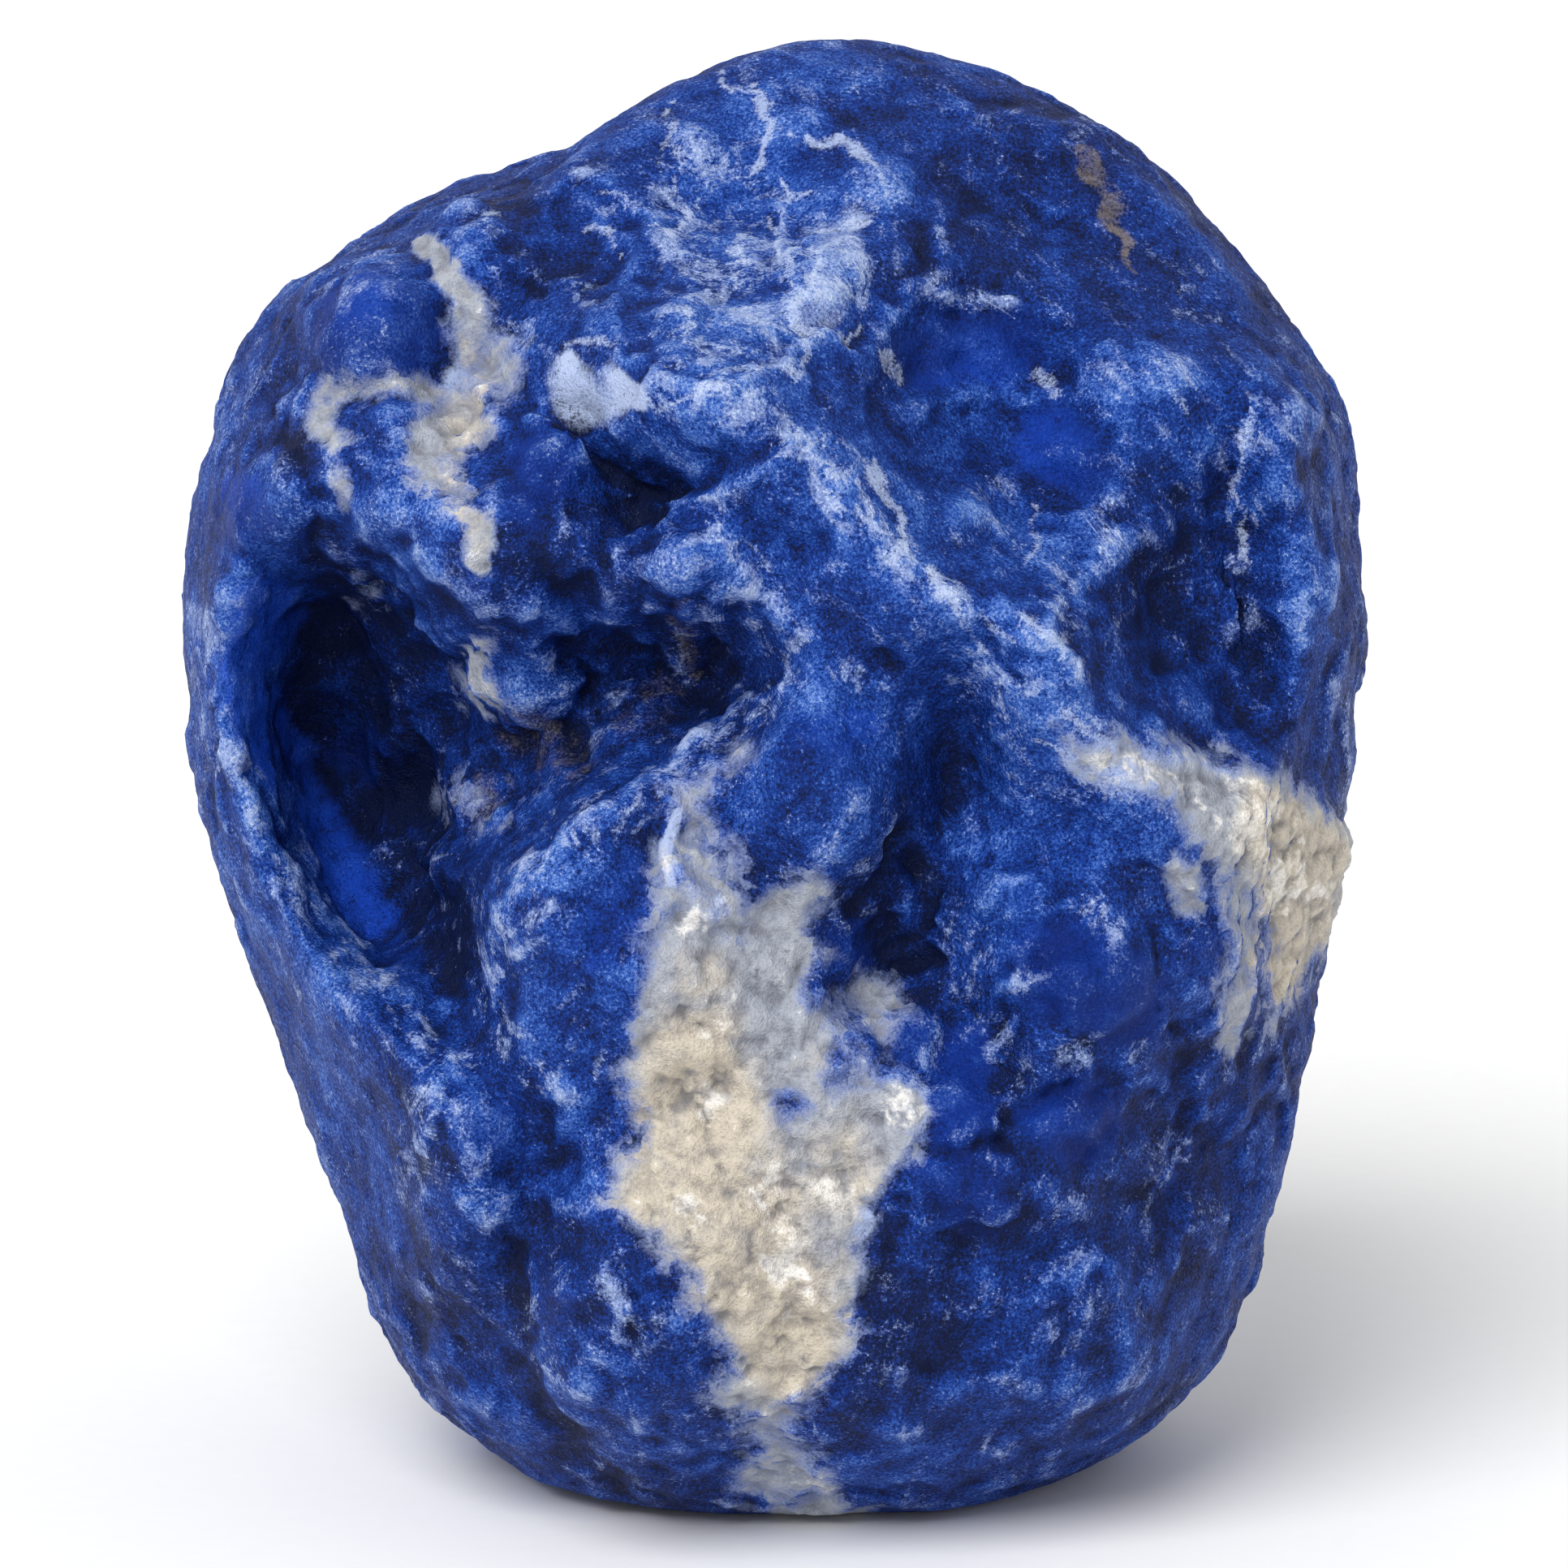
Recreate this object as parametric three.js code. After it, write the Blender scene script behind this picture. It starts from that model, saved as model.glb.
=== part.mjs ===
// Rough sodalite: one broken cobble, about 60 mm tall, that stands on a small worn flat spot.
// Lengths are millimetres, +Z is up, and the broad face looks along -Y.
//
// The stone is worked out around its heart, in a face frame that looks straight at the broad face:
// x to the right, y away from the viewer, z up. It is pitched and set down on its flat spot at the end.

import * as THREE from "three";
import { ImprovedNoise } from "three/addons/math/ImprovedNoise.js";
import { mergeVertices } from "three/addons/utils/BufferGeometryUtils.js";

const { clamp, degToRad, lerp, smoothstep } = THREE.MathUtils;

// Driving dimensions.
const FRONT_DEPTH = 21; // heart to the broad face
const BACK_DEPTH = 20; // heart to the back
const SECTION_POWER = 2.5; // 2 is an ellipse, more is boxier
const FACE_PITCH = degToRad(12); // how far the broad face looks upwards
const FLAT_SPOT_DEPTH = 1.7; // worn away under the lowest point
const FLAT_SPOT_ROUNDING = 0.5; // half the height over which the edge of the flat spot rounds off
const RELIEF_FADE = 5; // the relief of the broad face fades out over this depth before the rim
const WEAR_PASSES = 2; // each one rounds the sharpest edges a little
const WEAR = 0.5; // share of the way to the middle of its neighbours that a corner moves in a pass

// Facets: 20 * (EDGE_PARTS + 1)^2 of them, drawn closer together on the broad face.
const EDGE_PARTS = 21;
const FRONT_CROWDING = 0.2;

// Outline of the stone seen square to the broad face, from the top clockwise: [x, z].
const OUTLINE = [
  [1.5, 31.6], [6.2, 31.4], [11.7, 29.4], [16.5, 26], [20.6, 21.9], // crown and right shoulder
  [23.9, 16.9], [24.6, 12.3], [25, 7.1], [24.7, 1.8], [24.3, -2.8], // right side
  [23.4, -7.4], [22.3, -12.7], [21.5, -17.4], [20, -22.6], [17, -26.5], // right flank
  [12.9, -29.2], [8, -31.2], [3.2, -31.8], [-3, -31.6], [-8.8, -30.2], // foot
  [-13, -27.9], [-15.8, -25], [-17.4, -21.4], [-19.2, -15.6], [-21.4, -9.9], // left flank
  [-22.9, -5.2], [-24.5, 0.3], [-24.9, 5.1], [-24.7, 12.3], [-23.6, 15.2], // left side
  [-23.4, 17], [-21.5, 20.2], [-17, 23.4], [-14.2, 25.2], [-9.5, 26.7], // left shoulder
  [-5.4, 29.1], [-1.9, 30.7],
];

// Broken faces that cut the rounded body: the way each one looks, and how far it lies from the heart.
const BREAK_SOFTNESS = 2.5;
const BREAKS = [
  { facing: [-0.86, -0.5, -0.15], distance: 23.2 }, // left flank, outside the rim
  { facing: [0.75, -0.62, -0.25], distance: 24.2 }, // right flank
  { facing: [0.1, -0.75, 0.62], distance: 24.4 }, // crown slope
  { facing: [0.75, 0.62, 0.1], distance: 21.5 }, // right rear
  { facing: [-0.7, 0.65, 0.2], distance: 22 }, // left rear
  { facing: [-0.1, 0.7, 0.65], distance: 24 }, // behind the crown
  { facing: [0.05, 1, -0.1], distance: 18.5 }, // back
  { facing: [0, 0.21, -0.98], distance: 30.2 }, // foot
];

// Relief of the broad face. at is [x, z], half the two half-lengths, turn degrees anticlockwise.
const HOLLOWS = [
  { at: [-16.6, 3.4], half: [6.8, 8.8], turn: 12, depth: 9.5 }, // main hollow
  { at: [-6.6, 3.8], half: [9.6, 4.6], turn: 6, depth: 7 }, // its arm under the ledge
  { at: [-12.6, 1], half: [5.6, 6], turn: 20, depth: 9 }, // where the two meet
  { at: [-16.2, -2.6], half: [5.2, 9], turn: 30, depth: 10.5 }, // its foot, in behind the rim
  { at: [9.6, 13.6], half: [7.4, 8.6], turn: 20, depth: 3.2 }, // upper right bowl
  { at: [17.4, 7.4], half: [5.2, 9], turn: 6, depth: 4.6 }, // right hollow
  { at: [-3.4, 21.8], half: [6.8, 4.4], turn: 25, depth: 1.6 }, // dip under the crown
  { at: [-13.6, 17.2], half: [3, 5], turn: 30, depth: 1.8 }, // channel of the upper vein
  { at: [14, 22], half: [6.4, 3.8], turn: -35, depth: 1.2 }, // right shoulder dip
  { at: [-19.6, -15.5], half: [3.4, 9], turn: 12, depth: 2.2 }, // left flank
];

// Rounded lumps with a crease around them.
const KNOBS = [
  { at: [-16.9, 19.3], half: [4.4, 4.2], turn: 15, rise: 4.2 }, // shoulder knob
  { at: [-12, 22.4], half: [2.6, 2.6], turn: 0, rise: 1.8 },
  { at: [3.2, 22.4], half: [3.8, 6.4], turn: -12, rise: 2.4 }, // crest of the crown
  { at: [-15.7, 13.8], half: [3.2, 3], turn: 0, rise: 2.8 },
  { at: [-13, 9.2], half: [3.6, 3.2], turn: -20, rise: 3.6 },
  { at: [-19.4, 12], half: [3, 3.6], turn: 0, rise: 2.6 },
  { at: [-9, 12], half: [3.8, 3.6], turn: -35, rise: 3 }, // beside the vein
  { at: [-7.4, 17], half: [3, 2.9], turn: 0, rise: 2.2 }, // pale block
  { at: [-3.2, 14.8], half: [4.4, 3], turn: -8, rise: 3 }, // ledge over the crack
  { at: [-4.2, 8.8], half: [3, 2.5], turn: -20, rise: 4 }, // bright knob over the arm
  { at: [-10.2, 4.2], half: [2.4, 3], turn: 15, rise: 2.4 }, // divider inside the hollow
  { at: [1.8, -0.6], half: [4.4, 5.2], turn: 10, rise: 2.4 }, // nose beside the gully
  { at: [-7.4, -6.6], half: [6.6, 7], turn: 30, rise: 3 }, // lobe below the hollow
  { at: [-12.8, -15.6], half: [4, 6.8], turn: -8, rise: 2.8 }, // left lobe
  { at: [-5.4, -22], half: [6.8, 9], turn: -6, rise: 3 }, // lower lobe
  { at: [15.8, -7.2], half: [7, 6.4], turn: 10, rise: 2.6 }, // right lobe
  { at: [9.2, -15.6], half: [5.8, 5], turn: -10, rise: 1.8 },
  { at: [5, -23], half: [5.4, 6], turn: 10, rise: 1.6 },
  { at: [13.6, -22.4], half: [6.4, 5.4], turn: 40, rise: 1.8 },
];

// Ridges (rise over 0) and gullies (under 0) along a curve through [x, z] points, reach to either side.
const FOLDS = [
  // Rim of the hollow.
  { through: [[-22.2, 14.5], [-22.9, 9.5], [-22.9, 5.4], [-22.1, 0.6], [-20.4, -3.8]], reach: 2.6, rise: 3 },
  { through: [[-20.4, -3.8], [-18.6, -7.2], [-16.4, -9.9], [-15.2, -12.6]], reach: 2.8, rise: 3 },
  // Walls of the arm, on the right and below.
  { through: [[-2.4, 10], [-0.2, 7.6], [1.4, 5.2], [1, 3.4]], reach: 3, rise: 2.6 },
  { through: [[1, 3.4], [-5.2, 0.4], [-10, -3.2], [-12.6, -6.6]], reach: 3, rise: 1.8 },
  // Spine, and its run along the right vein.
  { through: [[-2.2, 17.6], [1.5, 13.6], [4.4, 10.3], [7.8, 7.3], [11.4, 4.7]], reach: 6.5, rise: 4.6 },
  { through: [[11.4, 4.7], [15.1, 1.5], [20.4, -1.2], [23.4, -3.2]], reach: 5, rise: 3.8 },
  // Lip of the bowl, right ridge.
  { through: [[14.4, 16.4], [13.6, 10.4], [12, 8]], reach: 2.8, rise: 2.2 },
  { through: [[21.2, 16.6], [21.9, 10.5], [21.8, 4.4]], reach: 2.8, rise: 2.4 },
  // Crack under the ledge.
  { through: [[-8.6, 14.2], [-6.4, 12], [-3.8, 11.8]], reach: 2, rise: -3 },
  // Centre gully and its right branch.
  { through: [[7.8, 4.4], [6.9, -1.4], [5.6, -4.9], [4.4, -8.6]], reach: 3, rise: -4 },
  { through: [[6.8, -3], [6.9, -6.2], [7.6, -9.6], [8.6, -12]], reach: 2.4, rise: -2.4 },
  // Creases of the lower left.
  { through: [[-12.8, -7.4], [-12.4, -9.4], [-10.6, -12.9], [-9, -15.5]], reach: 2.4, rise: -2.6 },
  { through: [[-9, -15.5], [-10.4, -18.4], [-10.9, -23.6], [-8.8, -28.2]], reach: 2.4, rise: -2.6 },
  { through: [[-15.4, -12.8], [-16.4, -16], [-15.8, -20], [-14.2, -25]], reach: 2.4, rise: -2.4 },
];

// Lumps (rise over 0) and scoops (under 0) on the sides and the back: at is [x, y, z].
const SIDE_FORMS = [
  { at: [-9, 19, 10], reach: 13, rise: -3 }, // conchoidal scoop in the back
  { at: [10, 18, -12], reach: 11, rise: -2.2 },
  { at: [7, 19, 13], reach: 9, rise: 1.8 },
  { at: [-8, 18, -13], reach: 9, rise: 2 },
  { at: [22, 12, 8], reach: 9, rise: 1.4 },
  { at: [19, 14, -9], reach: 8, rise: -1.6 },
  { at: [-20, 12, -3], reach: 9, rise: -1.8 },
  { at: [-18, 13, 14], reach: 7, rise: 1.5 },
  { at: [3, 14, 23], reach: 8, rise: 1.3 },
  { at: [-9, 14, 20], reach: 8, rise: -1.4 },
];

// Uneven surface all over the stone, calmer on the outline, which has its own.
const LUMPS = [
  { wavelength: 11, rise: 0.8 },
  { wavelength: 5, rise: 0.5 },
];
const SCOOP_SPACING = 8.5;
const SCOOP_DEPTH = 1.4;
const OUTLINE_CALM = 0.15;

const noise = new ImprovedNoise();

// A function giving the outline's distance from the heart at an angle.
function outlineReach() {
  const corners = OUTLINE.map(([x, z]) => new THREE.Vector3(x, 0, z));
  const rays = new THREE.CatmullRomCurve3(corners, true)
    .getPoints(OUTLINE.length * 12)
    .slice(1)
    .map((p) => ({ angle: Math.atan2(p.z, p.x), reach: Math.hypot(p.x, p.z) }))
    .sort((a, b) => a.angle - b.angle);
  return (angle) => {
    const next = rays.findIndex((ray) => ray.angle >= angle);
    if (next < 1) return rays[0].reach;
    const [a, b] = [rays[next - 1], rays[next]];
    return lerp(a.reach, b.reach, (angle - a.angle) / (b.angle - a.angle));
  };
}

// The smaller of two lengths, rounded off where they are within softness of each other.
function softMin(a, b, softness) {
  const blend = clamp(0.5 + (b - a) / (2 * softness), 0, 1);
  return lerp(b, a, blend) - softness * blend * (1 - blend);
}

// Distance from the heart to the smooth body, along a unit direction.
function bodyReach(direction, rim) {
  const depth = direction.y < 0 ? FRONT_DEPTH : BACK_DEPTH;
  const across = Math.hypot(direction.x, direction.z) / rim;
  const along = Math.abs(direction.y) / depth;
  let reach = (across ** SECTION_POWER + along ** SECTION_POWER) ** (-1 / SECTION_POWER);
  for (const { facing, distance } of BREAKS) {
    const towards = new THREE.Vector3(...facing).normalize().dot(direction);
    if (towards > 0.05) reach = softMin(reach, distance / towards, BREAK_SOFTNESS);
  }
  return reach;
}

// How far [x, z] is from the middle of an oval: 0 in the middle, 1 on its edge.
function ovalDistance(x, z, { at, half, turn }) {
  const [dx, dz] = [x - at[0], z - at[1]];
  const [c, s] = [Math.cos(degToRad(turn)), Math.sin(degToRad(turn))];
  return Math.hypot((dx * c + dz * s) / half[0], (dz * c - dx * s) / half[1]);
}

const bowl = (q) => 1 - smoothstep(q, 0.4, 1);
const dome = (q) => Math.max(0, 1 - q * q);
const fold = (q) => Math.max(0, 1 - q * q) ** 2;

const FOLD_STEPS = 24;
const foldPaths = FOLDS.map(({ through }) => {
  const points = through.map(([x, z]) => new THREE.Vector3(x, 0, z));
  return new THREE.CatmullRomCurve3(points).getPoints(FOLD_STEPS);
});

// About the largest of some lengths, with no crease where two are alike.
const blendedMax = (lengths) => Math.cbrt(lengths.reduce((sum, length) => sum + length ** 3, 0));

// Height of the broad face over the smooth body, towards the viewer. Hollows run into each other; of
// knobs or folds that overlap the strongest counts, so that neighbours meet in a crease.
function faceRelief(x, z) {
  const folds = FOLDS.map(({ reach, rise }, i) => {
    const nearest = Math.min(...foldPaths[i].map((p) => Math.hypot(x - p.x, z - p.z)));
    return rise * fold(nearest / reach);
  });
  const depths = HOLLOWS.map((hollow) => hollow.depth * bowl(ovalDistance(x, z, hollow)));
  const knob = Math.max(...KNOBS.map((k) => k.rise * dome(ovalDistance(x, z, k))));
  return knob - blendedMax(depths) + Math.max(0, ...folds) + Math.min(0, ...folds);
}

// A repeatable number from 0 to 1 for a cell of a grid.
function cellRandom(i, j, k, salt) {
  const wave = Math.sin(i * 127.1 + j * 311.7 + k * 74.7 + salt * 53.3) * 43758.5453;
  return wave - Math.floor(wave);
}

// Shallow scoops with ridges between them: 0 in the middle of a scoop, about 1 on a ridge.
function scoops(point) {
  const cell = point.clone().divideScalar(SCOOP_SPACING);
  const [i0, j0, k0] = cell.toArray().map(Math.floor);
  const middle = new THREE.Vector3();
  let nearest = 1;
  for (let i = i0 - 1; i <= i0 + 1; i++)
    for (let j = j0 - 1; j <= j0 + 1; j++)
      for (let k = k0 - 1; k <= k0 + 1; k++) {
        middle.set(i + cellRandom(i, j, k, 0), j + cellRandom(i, j, k, 1), k + cellRandom(i, j, k, 2));
        nearest = Math.min(nearest, middle.distanceTo(cell));
      }
  return nearest ** 2;
}

function unevenness(point) {
  let height = SCOOP_DEPTH * (scoops(point) - 0.3);
  for (const { wavelength, rise } of LUMPS)
    height += rise * noise.noise(point.x / wavelength, point.y / wavelength, point.z / wavelength);
  for (const { at, reach, rise } of SIDE_FORMS)
    height += rise * bowl(point.distanceTo(new THREE.Vector3(...at)) / reach);
  return height * lerp(OUTLINE_CALM, 1, smoothstep(Math.abs(point.y), 0, 8));
}

// Moves a point of the starting sphere to its place on the stone, in the face frame.
function placeOnStone(point, rimAt) {
  point.y -= FRONT_CROWDING;
  const direction = point.clone().normalize();
  const rim = rimAt(Math.atan2(direction.z, direction.x));
  point.copy(direction).multiplyScalar(bodyReach(direction, rim));
  const relief = faceRelief(point.x, point.z) * smoothstep(-point.y, 0, RELIEF_FADE);
  point.addScaledVector(direction, unevenness(point));
  point.y -= relief;
}

// Moves every corner towards the middle of its neighbours.
function wear(positions, index) {
  const sums = new Float64Array(positions.count * 4);
  for (let i = 0; i < index.count; i += 3)
    for (let k = 0; k < 3; k++) {
      const [a, b] = [index.getX(i + k), index.getX(i + ((k + 1) % 3))];
      sums[4 * a] += positions.getX(b);
      sums[4 * a + 1] += positions.getY(b);
      sums[4 * a + 2] += positions.getZ(b);
      sums[4 * a + 3] += 1;
    }
  const [point, middle] = [new THREE.Vector3(), new THREE.Vector3()];
  for (let i = 0; i < positions.count; i++) {
    middle.fromArray(sums, 4 * i).divideScalar(sums[4 * i + 3]);
    point.fromBufferAttribute(positions, i).lerp(middle, WEAR);
    positions.setXYZ(i, ...point);
  }
}

// Wears the foot flat at z = 0, with a rounded edge.
function wornHeight(z) {
  const s = FLAT_SPOT_ROUNDING;
  if (z < -s) return 0;
  return z > s ? z : (z + s) ** 2 / (4 * s);
}

function stoneGeometry() {
  const sphere = new THREE.IcosahedronGeometry(1, EDGE_PARTS);
  sphere.deleteAttribute("normal");
  sphere.deleteAttribute("uv");
  const geometry = mergeVertices(sphere, 1e-4);
  const positions = geometry.attributes.position;
  const rimAt = outlineReach();
  const point = new THREE.Vector3();
  for (let i = 0; i < positions.count; i++) {
    placeOnStone(point.fromBufferAttribute(positions, i), rimAt);
    positions.setXYZ(i, ...point);
  }
  for (let pass = 0; pass < WEAR_PASSES; pass++) wear(positions, geometry.index);
  geometry.rotateX(-FACE_PITCH);
  geometry.computeBoundingBox();
  geometry.translate(0, 0, -geometry.boundingBox.min.z - FLAT_SPOT_DEPTH);
  for (let i = 0; i < positions.count; i++) positions.setZ(i, wornHeight(positions.getZ(i)));
  geometry.computeBoundingBox();
  const { min, max } = geometry.boundingBox;
  geometry.translate(-(min.x + max.x) / 2, -(min.y + max.y) / 2, 0);
  geometry.computeVertexNormals();
  return geometry;
}

const sodalite = new THREE.MeshStandardMaterial({ color: 0x2c4ba0, roughness: 0.5, metalness: 0 });

const stone = new THREE.Mesh(stoneGeometry(), sodalite);
stone.name = "sodalite_stone";

const part = new THREE.Group();
part.add(stone);

export default part;
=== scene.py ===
# %% [markdown]
# # A rough sodalite stone
# Sodalite is a deep blue mineral. It breaks into scoops, knobs and ledges, and white or cream
# calcite runs through it in veins. This lesson dresses a plain solid of such a stone: it gives the
# solid the fine broken surface and the colours of the real mineral, and keeps its size.

# %% Load the solid
import math

import bmesh
import bpy
import numpy as np
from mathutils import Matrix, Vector


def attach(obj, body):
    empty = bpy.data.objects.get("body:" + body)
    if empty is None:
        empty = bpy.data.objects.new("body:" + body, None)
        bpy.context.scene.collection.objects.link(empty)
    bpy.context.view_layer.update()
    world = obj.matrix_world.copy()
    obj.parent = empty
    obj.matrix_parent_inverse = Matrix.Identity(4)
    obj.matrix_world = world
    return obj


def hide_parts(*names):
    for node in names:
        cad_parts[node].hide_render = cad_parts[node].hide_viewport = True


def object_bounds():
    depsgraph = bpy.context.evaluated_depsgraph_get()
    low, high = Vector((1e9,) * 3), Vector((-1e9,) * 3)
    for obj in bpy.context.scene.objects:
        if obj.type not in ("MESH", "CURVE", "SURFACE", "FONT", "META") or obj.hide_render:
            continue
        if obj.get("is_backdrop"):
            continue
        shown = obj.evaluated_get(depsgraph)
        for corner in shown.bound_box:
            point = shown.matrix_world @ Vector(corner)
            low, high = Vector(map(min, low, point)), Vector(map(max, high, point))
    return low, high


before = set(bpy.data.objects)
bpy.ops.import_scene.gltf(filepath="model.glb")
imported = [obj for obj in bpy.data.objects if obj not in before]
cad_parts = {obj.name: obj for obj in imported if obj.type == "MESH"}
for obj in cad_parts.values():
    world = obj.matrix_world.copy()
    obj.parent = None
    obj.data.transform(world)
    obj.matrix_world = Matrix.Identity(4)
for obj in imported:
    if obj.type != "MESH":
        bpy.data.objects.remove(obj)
CAD_LOW, CAD_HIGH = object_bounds()
STONE_NODE = "sodalite_stone"
MM = 0.001
print("solid", [round(side / MM, 2) for side in CAD_HIGH - CAD_LOW], "mm")

# %% [markdown]
# ## The viewer in front
# The stone is looked at from a little above, so that it leans back with its broken face towards the
# viewer. A near eye would swell its middle, and a long lens from afar keeps its true outline. The
# heart is the point of the solid that the face was laid out from, and the plate is a flat sheet near
# the face, square to the viewer. All the places below are in millimetres.

# %% The camera
FACE_PITCH = math.radians(12.0)
HEART = np.array((-0.096, 0.766, 28.857))
PLATE_DEPTH = -5.6
VIEW_DISTANCE = 458.0
AIM_ACROSS = 0.566
AIM_UP = 0.026
VIEW_LENS = 250.0
FILM_WIDTH = 36.0
NEAREST_SEEN = 0.01
FURTHEST_SEEN = 50.0

LEAN = np.array((
    (1.0, 0.0, 0.0),
    (0.0, math.cos(FACE_PITCH), -math.sin(FACE_PITCH)),
    (0.0, math.sin(FACE_PITCH), math.cos(FACE_PITCH)),
))


def plain_object(name, data):
    """A mesh, a lamp or a camera as an object at the origin."""
    made = bpy.data.objects.new(name, data)
    bpy.context.scene.collection.objects.link(made)
    return made


def make_camera():
    """A long lens in front of the face, level with its middle."""
    data = bpy.data.cameras.new("viewer")
    data.lens = VIEW_LENS
    data.sensor_width = FILM_WIDTH
    data.clip_start = NEAREST_SEEN
    data.clip_end = FURTHEST_SEEN
    camera = plain_object("viewer", data)
    eye = np.array((AIM_ACROSS, PLATE_DEPTH - VIEW_DISTANCE, AIM_UP))
    camera.location = Vector((LEAN.T @ eye + HEART) * MM)
    camera.rotation_euler = (math.radians(90.0) - FACE_PITCH, 0.0, 0.0)
    bpy.context.scene.camera = camera
    return camera


print("camera at", [round(v, 4) for v in make_camera().location])

# %% [markdown]
# ## Where things appear
# The marks of a stone are easiest to place where they appear. A point near the viewer looks a little
# further from the middle than one behind it, so its place can't simply be read off. These helpers
# turn points into places on the plate, and a mark is then a plain pair of millimetres, across and
# up. They also tell how far a surface looks towards the viewer.

# %% Seen places
PLATE_SCALE = 457.9
PLATE_ACROSS = 0.307
PLATE_UP = -0.239


def on_face(points):
    """Points in millimetres, measured from the heart in the leaning frame of the broken face."""
    return (points - HEART) @ LEAN.T


def as_seen(points):
    """Across and up of each point on the viewer's plate, in millimetres."""
    face = on_face(points)
    reach = face[:, 1] - (PLATE_DEPTH - VIEW_DISTANCE)
    across = (face[:, 0] - AIM_ACROSS) * PLATE_SCALE / reach + PLATE_ACROSS
    up = (face[:, 2] - AIM_UP) * PLATE_SCALE / reach + PLATE_UP
    return np.stack((across, up), axis=1)


def eased(value, low, high):
    """0 at low, 1 at high, and a smooth rise between them."""
    part = np.clip((value - low) / (high - low), 0.0, 1.0)
    return part * part * (3.0 - 2.0 * part)


def towards_viewer(normals, low, high):
    """1 where the surface looks at the viewer, 0 where it looks away."""
    return eased(-(normals @ LEAN.T)[:, 1], low, high)


print("the heart is seen at", np.round(as_seen(HEART[None])[0], 2))

# %% [markdown]
# ## Steady randomness
# Broken stone looks random at every size. Fresh dice would give another stone on every run, so one
# seeded block of dice numbers serves for all of it. Smooth noise gives soft swells. It also shakes
# the places of drawn marks, so that none has too clean an edge.

# %% Noise
DICE_SIDE = 64
DICE_SEED = 41
DICE_SHAPE = (DICE_SIDE, DICE_SIDE, DICE_SIDE, 4)
DICE = np.random.default_rng(DICE_SEED).random(DICE_SHAPE).astype(np.float32)
SEED_STEP = 7.31
NOISE_SPREAD = 1.7


def dice(cell):
    """Four steady random numbers for each whole-numbered cell."""
    turn = cell & (DICE_SIDE - 1)
    return DICE[turn[:, 0], turn[:, 1], turn[:, 2]]


def in_grid(points, size, seed):
    """The points in a grid of cells size millimetres wide, and the cell of each."""
    place = (points / size + seed * SEED_STEP).astype(np.float32)
    return place, np.floor(place).astype(np.int32)


def noise(points, size, seed):
    """Smooth swells about size millimetres wide, from about -1 to 1."""
    place, base = in_grid(points, size, seed)
    part = place - base
    ease = part * part * part * (part * (part * 6.0 - 15.0) + 10.0)
    total = np.zeros(len(points), np.float32)
    for corner in np.ndindex(2, 2, 2):
        step = np.array(corner)
        lean = dice(base + step)[:, :3] * 2.0 - 1.0
        share = np.prod(np.where(step == 1, ease, 1.0 - ease), axis=1)
        total += share * np.sum(lean * (part - step), axis=1)
    return total * NOISE_SPREAD


def layered(points, size, seed, layers=3, keep=0.5):
    """Noise with finer noise on it, each layer half as wide."""
    total = np.zeros(len(points), np.float32)
    for layer in range(layers):
        total += noise(points, size / 2 ** layer, seed + layer * 3) * keep ** layer
    return total


def shaken(places, points, waves, sides=(0, 1)):
    """Places pushed to two sides by noise. A wave is a size, a seed for each side and a reach."""
    moved = places.copy()
    for turn, side in enumerate(sides):
        push = 0.0
        for size, seeds, reach in waves:
            push = push + noise(points, size, seeds[turn]) * reach
        moved[:, side] += push
    return moved


def warped(points, size, amount, seed):
    """The points pushed about a little, so that a pattern on them loses its evenness."""
    push = [noise(points, size, seed + turn) for turn in range(3)]
    return points + np.stack(push, axis=1) * amount


print("dice", DICE.shape)

# %% [markdown]
# ## Cells
# Scoops and grains have sharp borders, which smooth noise can't give. They come from cells instead:
# each point finds the nearest of many scattered centres. The squared distance to it is a scoop with
# sharp crests where two cells meet. The distance along a random lean is a flat grain.

# %% Scoops and grains
FAR = 9.0
SCOOP_MIDDLE = 0.35
GRAIN_STEP = 0.35


def cells(points, size, seed):
    """Distance to the nearest centre, the way to it, and its dice."""
    place, base = in_grid(points, size, seed)
    nearest = np.full(len(points), FAR, np.float32)
    way = np.zeros((len(points), 3), np.float32)
    luck = np.zeros((len(points), 4), np.float32)
    for corner in np.ndindex(3, 3, 3):
        cell = base + (np.array(corner) - 1)
        roll = dice(cell)
        gap = cell + roll[:, :3] - place
        reach = np.sqrt(np.einsum("ij,ij->i", gap, gap))
        closer = reach < nearest
        nearest = np.where(closer, reach, nearest)
        way[closer] = gap[closer]
        luck[closer] = roll[closer]
    return nearest, way, luck


def scoop(points, size, seed):
    """Hollows with crests between them, from -0.35 to about 0.65."""
    nearest, _, _ = cells(points, size, seed)
    return np.minimum(nearest, 1.0) ** 2 - SCOOP_MIDDLE


def tilted_grains(points, size, seed):
    """Flat grains, each with its own lean, from about -0.5 to 0.5."""
    _, way, luck = cells(points, size, seed)
    lean = np.sum(way * (luck[:, 1:4] * 2.0 - 1.0), axis=1)
    return lean + (luck[:, 0] - 0.5) * GRAIN_STEP


print("a scoop at the heart", np.round(scoop(HEART[None], 1.0, 1), 2))

# %% [markdown]
# ## Strokes and outlines
# A crack, a ridge or a vein is drawn as a stroke: a bent line whose half width changes along it. A
# patch is drawn as an outline. Cutting them into the mesh would tie them to its edges. A distance
# to the line leaves the mesh alone, and can cut a groove, raise a crest or mix a colour.

# %% Strokes and outlines
TINY = 1e-9
DOT_LENGTH = 1e-4
OUTSIDE = 3.0


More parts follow.
